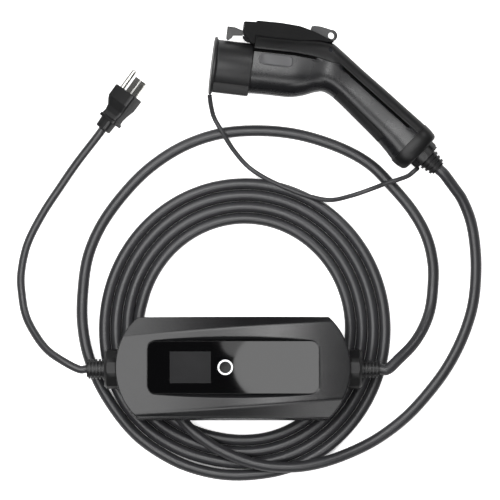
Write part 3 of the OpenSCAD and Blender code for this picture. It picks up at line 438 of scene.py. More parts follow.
def along_grip(x: float, y: float) -> float:
    """Give the place along the grip of a point of the connector."""
    return x * math.cos(GRIP_ANGLE) - y * math.sin(GRIP_ANGLE)


def grip_row(along: float, low: float, high: float, half: float) -> Vector:
    """Give a station square to the grip: its low point, its high point and its half width."""
    return Vector((*grip_point(along, low), *grip_point(along, high), half))


def smooth(points: Sequence[Vector], steps: int) -> list[Vector]:
    """Draw a smooth line through points.

    Args:
        points: Points that the line passes through.
        steps: Short pieces between one point and the next.

    Returns:
        The line's own points.
    """
    line = []
    last = len(points) - 1
    for i in range(last):
        a, b, c, d = (points[max(0, min(last, i + k))] for k in (-1, 0, 1, 2))
        for k in range(steps):
            t = k / steps
            line.append(0.5 * (2 * b + (c - a) * t + (2 * a - 5 * b + 4 * c - d) * t * t
                               + (3 * b - a - 3 * c + d) * t ** 3))
    return line + [points[last].copy()]


def length_of(line: Sequence[Vector]) -> float:
    """Add up the lengths of a line's pieces."""
    return sum((b - a).length for a, b in zip(line, line[1:]))


def mirrored(half: Sequence[Point]) -> list[Point]:
    """Give the other half of a ring, back from its last point."""
    return [(x, y, -z) for x, y, z in half[::-1]]


def place_piece(piece: bpy.types.Object, finish: Finish, body: Body, *nodes: str) -> bpy.types.Object:
    """Give a piece its finish and set it on its body.

    Args:
        piece: Object to place.
        finish: Finish of the piece.
        body: Body that it rides on.
        *nodes: Solids that it stands for.

    Returns:
        The same object.
    """
    piece.data.materials.append(finish.material())
    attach(piece, body.value)
    if nodes:
        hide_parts(*nodes)
    LOG.info("%s on %s", piece.name, body.value)
    return piece


def place_strap(strap: bpy.types.Object) -> bpy.types.Object:
    """Give the strap its finish, fix its place in its mesh and hide the solid that it stands for.

    Args:
        strap: The strap.

    Returns:
        The same object.
    """
    strap.data.materials.append(STRAP_RUBBER.material())
    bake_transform(strap)
    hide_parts("cap_tether")
    LOG.info("%s bends between root and cap", strap.name)
    return strap


def tube_object(name: str, line: Sequence[Vector], diameter: float) -> bpy.types.Object:
    """Build a round cord as a curve.

    Args:
        name: Name of the object.
        line: Points of the cord's middle in metres.
        diameter: Diameter of the cord in metres.

    Returns:
        The new object.
    """
    data = bpy.data.curves.new(name, "CURVE")
    data.dimensions = "3D"
    data.bevel_depth = diameter / 2
    data.bevel_resolution = CORD_ROUNDNESS
    data.use_fill_caps = True
    spline = data.splines.new("POLY")
    spline.points.add(len(line) - 1)
    for point, p in zip(spline.points, line):
        point.co = (*p, 1.0)
    piece = bpy.data.objects.new(name, data)
    bpy.context.scene.collection.objects.link(piece)
    return piece


def mesh_object(name: str, points: Sequence[Vector], faces: Sequence[Sequence[int]],
                crease: float = 40.0) -> bpy.types.Object:
    """Build a smooth-shaded mesh object.

    Args:
        name: Name of the object.
        points: Vertices in metres.
        faces: Vertex numbers of each face.
        crease: Angle in degrees above which an edge stays sharp.

    Returns:
        The new object, with its faces turned outward.
    """
    data = bpy.data.meshes.new(name)
    data.from_pydata([tuple(p) for p in points], [], [tuple(f) for f in faces])
    shape = bmesh.new()
    shape.from_mesh(data)
    bmesh.ops.remove_doubles(shape, verts=shape.verts, dist=MERGE_DISTANCE)
    bmesh.ops.recalc_face_normals(shape, faces=shape.faces)
    shape.to_mesh(data)
    shape.free()
    data.polygons.foreach_set("use_smooth", [True] * len(data.polygons))
    data.set_sharp_from_angle(angle=math.radians(crease))
    piece = bpy.data.objects.new(name, data)
    bpy.context.scene.collection.objects.link(piece)
    return piece


def ring_faces(rings: int, sides: int, looped: bool = False) -> list[tuple[int, ...]]:
    """List the faces of a skin over rings of points.

    Args:
        rings: Number of rings.
        sides: Points in each ring.
        looped: Whether the last ring joins the first instead of both being capped.

    Returns:
        The faces as vertex numbers.
    """
    faces: list[tuple[int, ...]] = []
    for k in range(rings if looped else rings - 1):
        below, above = k * sides, (k + 1) % rings * sides
        for i in range(sides):
            j = (i + 1) % sides
            faces.append((below + i, below + j, above + j, above + i))
    if not looped:
        faces.append(tuple(range(sides))[::-1])
        faces.append(tuple((rings - 1) * sides + i for i in range(sides)))
    return faces


def skin_object(name: str, place: Place, rings: Sequence[Sequence[Point]], crease: float,
                looped: bool = False) -> bpy.types.Object:
    """Build the skin over rings of a sub-assembly's points.

    Args:
        name: Name of the object.
        place: Frame of the sub-assembly.
        rings: Rings of points in that frame.
        crease: Angle in degrees above which an edge stays sharp.
        looped: Whether the last ring joins the first instead of both being capped.

    Returns:
        The new object.
    """
    points = [place.at(*p) for ring in rings for p in ring]
    return mesh_object(name, points, ring_faces(len(rings), len(rings[0]), looped), crease)


def tube_mesh(name: str, line: Sequence[Vector], radius: float, sides: int = 16) -> bpy.types.Object:
    """Build a round strap or wire as a closed mesh.

    Args:
        name: Name of the object.
        line: Points of its middle in metres.
        radius: Radius in metres.
        sides: Points round it.

    Returns:
        The new object.
    """
    points = []
    across = Vector((0.0, 0.0, 1.0))
    for i, middle in enumerate(line):
        ahead = (line[min(i + 1, len(line) - 1)] - line[max(i - 1, 0)]).normalized()
        across = (across - ahead * across.dot(ahead)).normalized()
        other = ahead.cross(across)
        for k in range(sides):
            a = 2 * math.pi * k / sides
            points.append(middle + radius * (math.cos(a) * across + math.sin(a) * other))
    return mesh_object(name, points, ring_faces(len(line), sides))


@dataclass(frozen=True)
class SoftEdges:
    """Rounded edges of the solids that show as they are.

    Attributes:
        join: Distance in metres within which corners become one.
        flat: Angle under which neighbouring faces become one.
        sharp: Angle above which an edge is rounded.
        segments: Faces across a rounded edge.
    """

    join: float = 1e-6
    flat: float = math.radians(0.6)
    sharp: float = math.radians(28)
    segments: int = 3

    def soften(self, node: str, width: float) -> None:
        """Round the edges of a solid with modifiers.

        Args:
            node: Name of the solid.
            width: Width of the rounding in millimetres.
        """
        piece = frame["nodes"][node]
        weld = piece.modifiers.new("join", "WELD")
        weld.merge_threshold = self.join
        flat = piece.modifiers.new("flatten", "DECIMATE")
        flat.decimate_type = "DISSOLVE"
        flat.angle_limit = self.flat
        edge = piece.modifiers.new("round", "BEVEL")
        edge.width = width * MM
        edge.segments = self.segments
        edge.limit_method = "ANGLE"
        edge.angle_limit = self.sharp
        edge.harden_normals = True
        LOG.info("%s has rounded edges", node)


@dataclass
class BoxCover:
    """Upper shell of the control box: a long dome with two slanting facets and the panel's pocket.

    Attributes:
        place: Frame of the box.
        length: Length of the box.
        width: Width of the box.
        end_r: Radius of its round ends.
        base_h: Height of the base under it.
        top: Greatest height.
        dome_r: Radius of the dome along the box.
        slope: Slant of the facets.
        turn: Turn of the facets against the box's length.
        offset: Place of the facets across the box.
        panel: Length, width and corner radius of the panel.
        panel_t: Thickness of the panel.
        gap: Gap round the panel.
        shelf: How far the pocket's shelf runs in under the panel.
        shelf_z: Underside and top of the shelf against the panel's seat.
        mouth: Least width of the slant round the pocket.
        mouth_tries: Rounds in which the slant is fitted to the outer face.
        wall: Thickness of the wall.
        edge: Radius of the outer edge.
        edge_steps: Rings round the outer edge.
        foot: How far the wall ends above the base, how far its edge is drawn in and where that starts.
        ceiling: Depth of the inside's end under the panel's seat.
        soft: Softness of the creases.
        sides: Rays round the shell.
        steps: Rings over the outer face.
        reach: Length of a ray that is sure to leave the box.
        halvings: Rounds in which a ray's end is found.
        crease: Angle in degrees above which an edge stays sharp.
    """

    place: Place
    length: float = 223.0
    width: float = 96.0
    end_r: float = 65.5
    base_h: float = 22.0
    top: float = 52.0
    dome_r: float = 860.0
    slope: float = math.radians(22)
    turn: float = math.radians(4)
    offset: float = 38.0
    panel: Triple = (162.0, 49.5, 7.6)
    panel_t: float = 3.0
    gap: float = 0.45
    shelf: float = 4.0
    shelf_z: Pair = (-2.0, -0.4)
    mouth: float = 0.15
    mouth_tries: int = 6
    wall: float = 2.6
    edge: float = 1.1
    edge_steps: int = 4
    foot: Triple = (0.15, 0.3, 0.5)
    ceiling: float = 4.0
    soft: float = 0.7
    sides: int = 480
    steps: int = 30
    reach: float = 200.0
    halvings: int = 40
    crease: float = 50.0

    def dome(self, x: float) -> float:
        """Give how far the long dome has fallen at a place along it."""
        return math.sqrt(self.dome_r ** 2 - x * x) - self.dome_r

    def height(self, x: float, y: float) -> float:
        """Give the outer face's height.

        Args:
            x: Place along the box.
            y: Place across the box.

        Returns:
            Height over the underside, with the creases softened.
        """
        low = self.top + self.dome(x)
        for side in (1, -1):
            u, v = side * x, side * y - self.offset
            along = u * math.cos(self.turn) + v * math.sin(self.turn)
            out = v * math.cos(self.turn) - u * math.sin(self.turn)
            facet = self.top - out * math.tan(self.slope) + self.dome(along) / math.cos(self.slope)
            share = clamp(0.5 + 0.5 * (facet - low) / self.soft)
            low = facet + (low - facet) * share - self.soft * share * (1 - share)
        return low

    def in_outline(self, x: float, y: float, inset: float) -> bool:
        """Tell whether a point is within the box's outline.

        Args:
            x: Place along the box.
            y: Place across the box.
            inset: How far the outline is drawn in.

        Returns:
            Whether the point is within it.
        """
        end = self.end_r - inset
        if abs(y) > self.width / 2 - inset or abs(y) >= end:
            return False
        return abs(x) <= self.length / 2 - self.end_r + math.sqrt(end * end - y * y)

    def in_panel(self, x: float, y: float, outset: float) -> bool:
        """Tell whether a point is within the panel's outline.

        Args:
            x: Place along the box.
            y: Place across the box.
            outset: How far the outline is grown.

        Returns:
            Whether the point is within it.
        """
        corner = self.panel[2] + outset
        dx = abs(x) - self.panel[0] / 2 - outset + corner
        dy = abs(y) - self.panel[1] / 2 - outset + corner
        if dx > 0 and dy > 0:
            return math.hypot(dx, dy) <= corner
        return max(dx, dy) <= corner

    def edge_point(self, k: int, outline: Outline, shift: float) -> Pair:
        """Find where a ray from the middle meets an outline.

        Args:
            k: Number of the ray.
            outline: Outline that it meets.
            shift: How far the panel's outline is grown, or the box's drawn in.

        Returns:
            The point's place along and across.
        """
        a = 2 * math.pi * k / self.sides
        ray = Vector((math.cos(a) * self.length, math.sin(a) * self.width)).normalized()
        within = self.in_panel if outline is Outline.PANEL else self.in_outline
        near, far = 0.0, self.reach
        for _ in range(self.halvings):
            half = (near + far) / 2
            near, far = (half, far) if within(*(ray * half), shift) else (near, half)
        return near * ray.x, near * ray.y

    def edge_row(self, outline: Outline, shift: float) -> list[Pair]:
        """Give an outline's points, one for each ray."""
        return [self.edge_point(k, outline, shift) for k in range(self.sides)]

    def level_ring(self, outline: Outline, shift: float, z: float) -> list[Point]:
        """Give a level ring along an outline."""
        return [(x, y, z) for x, y in self.edge_row(outline, shift)]

    def mouth_row(self, lip: float) -> list[Pair]:
        """Find where the slant round the pocket meets the outer face.

        Args:
            lip: Height of the pocket's lip.

        Returns:
            The points along and across, one for each ray.
        """
        row = []
        for k in range(self.sides):
            shift = self.gap
            for _ in range(self.mouth_tries):
                face = self.height(*self.edge_point(k, Outline.PANEL, shift))
                shift = max(self.gap + self.mouth, face - lip + self.gap)
            row.append(self.edge_point(k, Outline.PANEL, shift))
        return row

    def outer_rings(self, lip: float) -> list[list[Point]]:
        """List the rings over the outer face and round its edge.

        Args:
            lip: Height of the pocket's lip.

        Returns:
            The rings, from the pocket outward.
        """
        rings = []
        mouth = self.mouth_row(lip)
        rim = self.edge_row(Outline.BOX, self.edge)
        for j in range(self.steps + 1):
            share = j / self.steps
            row = [(a[0] + (b[0] - a[0]) * share, a[1] + (b[1] - a[1]) * share) for a, b in zip(mouth, rim)]
            rings.append([(x, y, self.height(x, y)) for x, y in row])
        for j in range(1, self.edge_steps + 1):
            a = math.pi / 2 * j / self.edge_steps
            row = self.edge_row(Outline.BOX, self.edge * (1 - math.sin(a)))
            drop = self.edge * (1 - math.cos(a))
            rings.append([(*p, self.height(*top) - drop) for p, top in zip(row, rim)])
        return rings

    def build(self) -> bpy.types.Object:
        """Skin the shell from the pocket out over the faces and back along the inside.

        Returns:
            The new object.
        """
        lip = self.top + self.dome(self.panel[0] / 2)
        seat = lip - self.panel_t
        shelf_low, shelf_top = (seat + z for z in self.shelf_z)
        above, foot_in, foot_start = self.foot
        low = self.base_h + above
        pocket = ((-self.shelf, shelf_low), (-self.shelf, shelf_top), (self.gap, shelf_top), (self.gap, lip))
        inside = ((0.0, self.base_h + foot_start), (foot_in, low), (self.wall, low),
                  (self.wall, seat - self.ceiling))
        rings = [self.level_ring(Outline.PANEL, shift, z) for shift, z in pocket]
        rings += self.outer_rings(lip)
        rings += [self.level_ring(Outline.BOX, shift, z) for shift, z in inside]
        piece = skin_object("cover_shell", self.place, rings, self.crease, looped=True)
        return place_piece(piece, SHELL_ABS, Body.ROOT, "box_cover")


@dataclass
class Handle:
    """Moulded handle of the connector: gloss body, soft-touch back, rubber insert and end collar.

    A station is a ring square to the handle: its low point, its high point and its half width. A level
    is a height on it, from minus one at its low point to one at its high point.

    Attributes:
        place: Frame of the connector.
        head: Stations of the head, each with x and y of its low and high point and its half width.
        grip: Stations of the grip by place along it, low and high place across it and half width.
        station_steps: Rings between one station and the next.
        low_power: Power of a ring's curve below its middle.
        high_power: The same above its middle.
        seam_head: Line between body and back along the head.
        seam_end: End of that line, along and across the grip.
        step: How far the body lies under the back's face.
        groove: Depth of the groove under the seam.
        groove_w: Width of the groove.
        groove_lip: Width of the groove's lower slope, the share of its depth there and the round past it.
        groove_head: End of the groove on the head, and the length over which it fades.
        groove_grip: Start and end of the groove on the grip, and the length over which it fades.
        groove_dark: Share of its depth from which the groove's floor is painted black as shade.
        body_steps: Points from the groove to the body's foot.
        deck: Line of the flat deck under the latch.
        deck_most: Highest level of the back.
        back_edge: Rise and inset of the points on the back's lower edge.
        back_from: Rise at which its full face starts.
        back_steps: Points from there to the deck.
        slot: Start and end of the lever's slot.
        slot_low: Height of the slot's floor.
        slot_half: Half its width.
        slot_draft: Slant of its ends.
        deck_share: Place of the deck's inner points across it where there is no slot.
        screw_at: Place of the screw's hole.
        screw_hole: Radius of the hole.
        screw_floor: Place of the hole's floor across the handle.
        screw_cut: Length of the cut.
        screw_sides: Points round the hole.
        collar: Rings of the collar, in the form of the grip's stations.
        collar_steps: Points down one side of the collar.
        insert: Start, end and half width of the rubber insert.
        insert_gap: Width of the gap round it.
        insert_lifts: How far the gap's bed of painted shade and the insert stand over the body.
        insert_deep: How far both reach into the body.
        insert_steps: Rings along the insert, and points down one side.
        plate_at: Middle of the pill plate.
        plate_half: Half its length and width.
        plate_powers: Powers of its outline along and across.
        plate_rings: Share of the outline and height over the body of each ring.
        plate_sides: Points round it.
        plate_above: Height from which its place on the body is sought.
    """

    place: Place
    head: tuple[tuple[float, ...], ...] = (
        (36, -22.8, 36, 35.4, 23), (54, -22.3, 54, 35.4, 23), (74, -22, 76, 36, 22.6),
        (87, -19.1, 95, 37, 21.6), (99, -14.2, 108.6, 35.4, 20.6), (107.5, -13.2, 118.6, 29.4, 20.35))
    grip: tuple[tuple[float, ...], ...] = (
        (107, 56, 95.3, 18.9), (133, 55.7, 96.5, 18.5), (157, 55.1, 97.3, 18.5), (172, 53.8, 97.9, 19.1),
        (184, 52, 98.3, 19.5))
    station_steps: int = 8
    low_power: float = 2.6
    high_power: float = 3.2
    seam_head: Corners = ((34, 20.6), (74, 21.2), (93, 19.8), (112, 16.0), (118, 16.2))
    seam_end: Pair = (190, 87.4)
    step: float = 0.8
    groove: float = 1.4
    groove_w: float = 2.2
    groove_lip: Triple = (0.4, 0.4, 0.5)
    groove_head: Pair = (104.0, 14.0)
    groove_grip: Triple = (84.0, 176.0, 4.0)
    groove_dark: float = 0.3
    body_steps: int = 30
    deck: Corners = ((34, 32.8), (79, 33.2), (94, 35.4), (110, 35.2))
    deck_most: float = 0.97
    back_edge: Corners = ((0.0, 0.7), (0.008, 0.2))
    back_from: float = 0.025
    back_steps: int = 14
    slot: Pair = (46.0, 115.0)
    slot_low: float = 27.0
    slot_half: float = 7.7
    slot_draft: float = 0.1
    deck_share: float = 0.5
    screw_at: Pair = (108.0, 27.9)
    screw_hole: float = 2.1
    screw_floor: float = 11.5
    screw_cut: float = 30.0
    screw_sides: int = 40
    collar: tuple[tuple[float, ...], ...] = (
        (184.1, 53.6, 96.9, 18.0), (184.1, 52.4, 98.1, 19.2), (184.6, 52.0, 98.5, 19.5),
        (191.7, 52.2, 98.3, 19.5), (197.0, 53.6, 97.6, 19.3), (198.6, 55.0, 96.6, 18.2),
        (199.4, 56.6, 95.2, 16.8), (199.4, 57.8, 94.0, 15.6))
    collar_steps: int = 40
    insert: Triple = (104.0, 162.0, 15.1)
    insert_gap: float = 0.7
    insert_lifts: Pair = (0.05, 0.22)
    insert_deep: float = 1.5
    insert_steps: tuple[int, int] = (24, 12)
    plate_at: Pair = (57.4, 11.8)
    plate_half: Pair = (16.2, 5.8)
    plate_powers: Pair = (0.42, 0.62)
    plate_rings: Corners = ((1.0, -0.4), (1.0, 0.1), (0.985, 0.28), (0.95, 0.34), (0.9, 0.2), (0.6, 0.2),
                            (0.25, 0.2))
    plate_sides: int = 64
    plate_above: float = 60.0

    def stations(self) -> list[Vector]:
        """List the stations along the handle, with smooth steps between."""
        rows = [Vector(row) for row in self.head] + [grip_row(*row) for row in self.grip]
        return smooth(rows, self.station_steps)

    def grip_station(self, along: float) -> Vector:
        """Read the station at a place along the grip from its neighbours.

        Args:
            along: Place along the grip.

        Returns:
            The station.
        """
        rows = self.stations()
        for a, b in zip(rows, rows[1:]):
            start, end = along_grip(*a[0:2]), along_grip(*b[0:2])
            if start <= along <= end:
                return a + (b - a) * ((along - start) / (end - start))
        return rows[-1]

    def at_line(self, station: Vector, line: Sequence[Pair]) -> float:
        """Find how high a station's ring meets a line.

        Args:
            station: The station.
            line: Points of the line.

        Returns:
            The level, which is one where they don't meet.
        """
        low, up = Vector(station[0:2]), Vector(station[2:4]) - Vector(station[0:2])
        for a, b in zip(line, line[1:]):
            run = Vector(b) - Vector(a)
            cross = up.x * run.y - up.y * run.x
            if abs(cross) < PARALLEL:
                continue
            off = Vector(a) - low
            t = (off.x * run.y - off.y * run.x) / cross
            s = (off.x * up.y - off.y * up.x) / cross
            if 0 <= s <= 1:
                return clamp(2 * t - 1, -1.0, 1.0)
        return 1.0

    def power(self, level: float) -> float:
        """Give the power of a ring's curve at a level."""
        return self.low_power if level < 0 else self.high_power

    def ring_angle(self, level: float) -> float:
        """Turn a level into an angle of the ring."""
        return math.copysign(math.asin(min(1.0, abs(level) ** (self.power(level) / 2))), level)

    def levels(self, top: float, bottom: float, count: int) -> list[float]:
        """Space levels evenly round the ring between two of them.

        Args:
            top: First level.
            bottom: Last level.
            count: Steps from one to the other.

        Returns:
            The levels, with both ends.
        """
        first, last = self.ring_angle(top), self.ring_angle(bottom)
        angles = [first + (last - first) * k / count for k in range(count + 1)]
        return [math.copysign(abs(math.sin(a)) ** (2 / self.power(a)), a) for a in angles]

    def point(self, station: Vector, level: float, inset: float) -> Point:
        """Give a point on the side of a station's ring that z points to.

        Args:
            station: The station.
            level: Height on the ring, from minus one to one.
            inset: How far the ring is drawn in.

        Returns:
            The point in the connector's frame.
        """
        low, high = Vector(station[0:2]), Vector(station[2:4])
        up = (high - low) / 2
        power = self.power(level)
        middle = (low + high) / 2 + up.normalized() * (up.length - inset) * level
        across = (station[4] - inset) * max(0.0, 1 - abs(level) ** power) ** (1 / power)
        return middle.x, middle.y, across

    def grooved(self, station: Vector) -> float:
        """Tell how deep the groove under the seam is at a station.

        Args:
            station: The station.

        Returns:
            Depth in millimetres.
        """
        head_end, head_fade = self.groove_head
        start, end, fade = self.groove_grip
        x, y = station[2], station[3]
        along = along_grip(x, y)
        if x < head_end:
            return self.groove * clamp((head_end - x) / head_fade)
        return self.groove * max(0.0, min(1.0, (along - start) / fade, (end - along) / fade))

    def seam(self) -> Corners:
        """Give the line between body and back."""
        return *self.seam_head, grip_point(*self.seam_end)

    def build_body(self) -> bpy.types.Object:
        """Skin the gloss body below the seam.

        Returns:
            The new object.
        """
        slope, slope_share, past = self.groove_lip
        rings, depths = [], []
        for station in self.stations():
            seam = self.at_line(station, self.seam())
            tall = (Vector(station[2:4]) - Vector(station[0:2])).length / 2
            deep = self.grooved(station)
            depths.append(deep)
            near = [(seam, deep), (seam - (self.groove_w - slope) / tall, deep),
                    (seam - self.groove_w / tall, deep * slope_share)]
            far = self.levels(seam - (self.groove_w + past) / tall, -1.0, self.body_steps)
            half = [self.point(station, level, self.step + inset) for level, inset in near]
            half += [self.point(station, level, self.step) for level in far]
            rings.append(half + mirrored(half[:-1]))
        piece = skin_object("handle_shell", self.place, rings, crease=45.0)
        place_piece(piece, HANDLE_ABS, Body.ROOT, "handle_body")
        self.darken_groove(piece, depths, len(rings[0]))
        return piece

    def darken_groove(self, body: bpy.types.Object, depths: Sequence[float], sides: int) -> None:
        """Paint shade on the groove's floor, as a black finish of its own, where the groove is open.

        Args:
            body: Gloss body with the groove.
            depths: Depth of the groove at each ring.
            sides: Points in each ring.
        """
        # Second slot: the painted shade on the groove's floor
        body.data.materials.append(GROOVE_SHADE_PAINT.material())
        # Two faces on each side of the ring; the last face closes it across the top
        floor = (0, 1, sides - 3, sides - 2)
        for k, pair in enumerate(zip(depths, depths[1:])):
            if min(pair) > self.groove_dark * self.groove:
                for i in floor:
                    body.data.polygons[k * sides + i].material_index = 1

    def build_back(self) -> bpy.types.Object:
        """Skin the soft-touch back above the seam, with the lever's slot.

        Returns:
            The new object.
        """
        rings = []
        for station in self.stations():
            seam = self.at_line(station, self.seam())
            top = min(self.deck_most, self.at_line(station, self.deck))
            side = [self.point(station, seam + rise, inset) for rise, inset in self.back_edge]
            face = self.levels(seam + self.back_from, top, self.back_steps)
            side += [self.point(station, level, 0.0) for level in face]
            x, y, z = side[-1]
            open_here = self.slot[0] < x < self.slot[1] and z > self.slot_half
            wide = self.slot_half if open_here else self.deck_share * z
            floor = (x - (y - self.slot_low) * self.slot_draft, self.slot_low) if open_here else (x, y)
            side += [(x, y, wide), (*floor, wide)]
            rings.append(side + mirrored(side))
        piece = skin_object("handle_spine", self.place, rings, crease=40.0)
        self.drill(piece)
        return place_piece(piece, SOFT_ABS, Body.ROOT, "handle_back")

    def drill(self, piece: bpy.types.Object) -> None:
        """Cut the hole over the screw in the back.

        Args:
            piece: The back, which is cut in place.
        """
        middle = Matrix.Translation((*self.screw_at, self.screw_floor + self.screw_cut / 2))
        shape = bmesh.new()
        bmesh.ops.create_cone(shape, cap_ends=True, segments=self.screw_sides, radius1=self.screw_hole,
                              radius2=self.screw_hole, depth=self.screw_cut, matrix=middle)
        shape.transform(self.place.matrix)
        data = bpy.data.meshes.new("screw_cutter")
        shape.to_mesh(data)
        shape.free()
        cutter = bpy.data.objects.new("screw_cutter", data)
        bpy.context.scene.collection.objects.link(cutter)
        cut = piece.modifiers.new("screw_hole", "BOOLEAN")
        cut.object = cutter
        cut.solver = "EXACT"
        whole = bpy.data.meshes.new_from_object(piece.evaluated_get(bpy.context.evaluated_depsgraph_get()))
        piece.modifiers.clear()
        piece.data = whole
        bpy.data.objects.remove(cutter)

    def build_collar(self) -> bpy.types.Object:
        """Skin the matte collar at the end of the grip.

        Returns:
            The new object.
        """
        rings = []
        for row in self.collar:
            station = grip_row(*row)
            side = [self.point(station, level, 0.0) for level in self.levels(1.0, -1.0, self.collar_steps)]
            rings.append(side + mirrored(side[1:-1]))
        piece = skin_object("collar_band", self.place, rings, crease=50.0)
        return place_piece(piece, SOFT_ABS, Body.ROOT, "end_collar")

    def insert_object(self, name: str, grow: float, lift: float) -> bpy.types.Object:
        """Skin a pad on the inside of the grip.

        Args:
            name: Name of the object.
            grow: How far it is larger than the rubber insert.
            lift: How far it stands over the body.

        Returns:
            The new object.
        """
        first, last, half = self.insert[0] - grow, self.insert[1] + grow, self.insert[2] + grow
        count, side_steps = self.insert_steps
        rings = []
        for k in range(count + 1):
            station = self.grip_station(first + (last - first) * k / count)
            edge = min(1.0, half / (station[4] - self.step))
            start = -(max(0.0, 1 - edge ** self.low_power)) ** (1 / self.low_power)
            side = self.levels(start, -1.0, side_steps)
            over = [self.point(station, level, self.step - lift) for level in side]
            under = [self.point(station, level, self.step + self.insert_deep) for level in side]
            over += mirrored(over[:-1])
            under += mirrored(under[:-1])
            rings.append(over + under[::-1])
        return skin_object(name, self.place, rings, crease=40.0)

    def build_insert(self) -> None:
        """Lay the rubber insert on the inside of the grip, in a gap of painted shade."""
        gap_lift, pad_lift = self.insert_lifts
        # A black bed a little larger than the insert paints the shade in the gap round it
        place_piece(self.insert_object("insert_gap", self.insert_gap, gap_lift), GAP_SHADE_PAINT, Body.ROOT)
        place_piece(self.insert_object("insert_pad", 0.0, pad_lift), GRIP_RUBBER, Body.ROOT, "grip_insert")

    def plate_point(self, angle: float, scale: float) -> Pair:
        """Give a point of the pill plate's outline.

        Args:
            angle: Angle round the plate's middle.
            scale: Share of the outline's size.

        Returns:
            The point's place along and up the head.
        """
        turns = zip((math.cos(angle), math.sin(angle)), self.plate_powers)
        wide, tall = (math.copysign(abs(turn) ** power, turn) for turn, power in turns)
        x = self.plate_at[0] + scale * self.plate_half[0] * wide
        y = self.plate_at[1] + scale * self.plate_half[1] * tall
        return x, y

    def build_plate(self, body: bpy.types.Object) -> bpy.types.Object:
        """Raise the bare pill plate on the side of the head.

        Args:
            body: Gloss body that it stands on.

        Returns:
            The new object.
        """
        tree = BVHTree.FromPolygons([v.co.copy() for v in body.data.vertices],
                                    [tuple(p.vertices) for p in body.data.polygons])
        down = -self.place.matrix.col[2].to_3d().normalized()
        points = []
        for scale, lift in self.plate_rings:
            for k in range(self.plate_sides):
                at = self.plate_point(2 * math.pi * k / self.plate_sides, scale)
                hit = tree.ray_cast(self.place.at(*at, self.plate_above), down)[0]
                points.append(hit - down * lift * MM)
        faces = ring_faces(len(self.plate_rings), self.plate_sides)
        piece = mesh_object("pill_plate", points, faces, crease=60.0)
        return place_piece(piece, PLATE_ABS, Body.ROOT)

    def build(self) -> None:
        """Build every piece of the handle."""
        body = self.build_body()
        self.build_back()
        self.build_collar()
        self.build_insert()
        self.build_plate(body)


@dataclass
class Cap:
    """Dust cap: flanged rim, skirt over the nose and the squared key along its underside.

    Attributes:
        place: Frame of the connector.
        front: Place of the closed front.
        rim_r: Radius of the flanged rim.
        rim_t: Thickness of the rim, and place of the floor inside.
        skirt_r: Radius of the skirt.
        bore_r: Radius inside it.
        length: Place of the skirt's end.
        rim_front: Steps of the rim's front edge, along and out.
        rim_back: Steps of its back edge.
        fillet: Steps of the round between rim and skirt.
        skirt_end: Steps of the skirt's end edge.
        sides: Points round the cup.
        key_top: Height of the key's shoulders.
        key_low: Height of its foot.
        key_half: Half its width.
        key_ends: How far the key reaches into the rim and stays back from the skirt's end.
        shoulder: Steps of the shoulders' edge, up and out.
        foot: Steps of the foot's edge.
        draft: How far each side is drawn in down to the foot.
        hollow_steps: Points in the hollow for the skirt.
        crease: Angle in degrees above which an edge stays sharp.
    """

    place: Place
    front: float = -1.8
    rim_r: float = 27.5
    rim_t: float = 3.1
    skirt_r: float = 25.1
    bore_r: float = 22.2
    length: float = 35.5
    rim_front: Corners = ((0.0, -1.2), (0.25, -0.5), (0.9, 0.0))
    rim_back: Corners = ((-0.8, 0.0), (-0.2, -0.5), (0.0, -1.5))
    fillet: Corners = ((0.2, 0.6), (0.9, 0.15), (2.1, 0.0))
    skirt_end: Corners = ((-0.9, 0.0), (-0.3, -0.2), (0.0, -0.8))
    sides: int = 128
    key_top: float = -15.5
    key_low: float = -24.8
    key_half: float = 20.4
    key_ends: Pair = (0.1, 0.8)
    shoulder: Corners = ((0.0, -0.5), (-0.15, -0.15), (-0.5, 0.0))
    foot: Corners = ((0.6, 0.0), (0.15, -0.2), (0.0, -0.6))
    draft: float = 1.0
    hollow_steps: int = 24
    crease: float = 35.0

    def cup(self) -> list[list[Point]]:
        """List the rings of rim, skirt and bore.

        Returns:
            The rings, from the closed front round to the floor inside.
        """
        back = self.front + self.rim_t
        corners = ((self.front, self.rim_r, self.rim_front), (back, self.rim_r, self.rim_back),
                   (back, self.skirt_r, self.fillet), (self.length, self.skirt_r, self.skirt_end))
        profile = [(x + dx, r + dr) for x, r, steps in corners for dx, dr in steps]
        profile += [(self.length, self.bore_r), (self.rim_t, self.bore_r)]
        turns = [2 * math.pi * k / self.sides for k in range(self.sides)]
        return [[(x, r * math.cos(a), r * math.sin(a)) for a in turns] for x, r in profile]

    def key(self) -> list[list[Point]]:
        """List the rings of the key, with a draft on its sides and a hollow for the skirt.

        Returns:
            The key's two end rings.
        """
        inner = (self.skirt_r + self.bore_r) / 2
        foot_half = self.key_half - self.draft
        side = [(self.key_top, math.sqrt(inner ** 2 - self.key_top ** 2))]
        side += [(self.key_top + up, self.key_half + out) for up, out in self.shoulder]
        side += [(self.key_low + up, foot_half + out) for up, out in self.foot]
        first = math.acos(self.key_top / inner)
        sweep = 2 * math.pi - 2 * first
        hollow = [first + sweep * k / self.hollow_steps for k in range(1, self.hollow_steps)]
        ring = side + [(y, -z) for y, z in side[::-1]]
        ring += [(inner * math.cos(a), inner * math.sin(a)) for a in hollow[::-1]]
        into_rim, short = self.key_ends
        ends = (self.front + self.rim_t - into_rim, self.length - short)
        return [[(x, y, z) for y, z in ring] for x in ends]

    def build(self) -> bpy.types.Object:
        """Skin the cap as one piece that rides with the cap's body.

        Returns:
            The new object.
        """
        cup, key = self.cup(), self.key()
        points = [self.place.at(*p) for ring in cup + key for p in ring]
        faces = ring_faces(len(cup), self.sides)
        of_cup, first = len(faces), len(cup) * self.sides
        faces += [tuple(first + i for i in face) for face in ring_faces(len(key), len(key[0]))]
        piece = mesh_object("cap_shell", points, faces, self.crease)
        place_piece(piece, CAP_RUBBER, Body.CAP, "dust_cap")
        # The key wears a darker copy of the cap's rubber: painted shade
        piece.data.materials.append(KEY_SHADE_RUBBER.material())
        for face in piece.data.polygons[of_cup:]:
            face.material_index = 1
        return piece


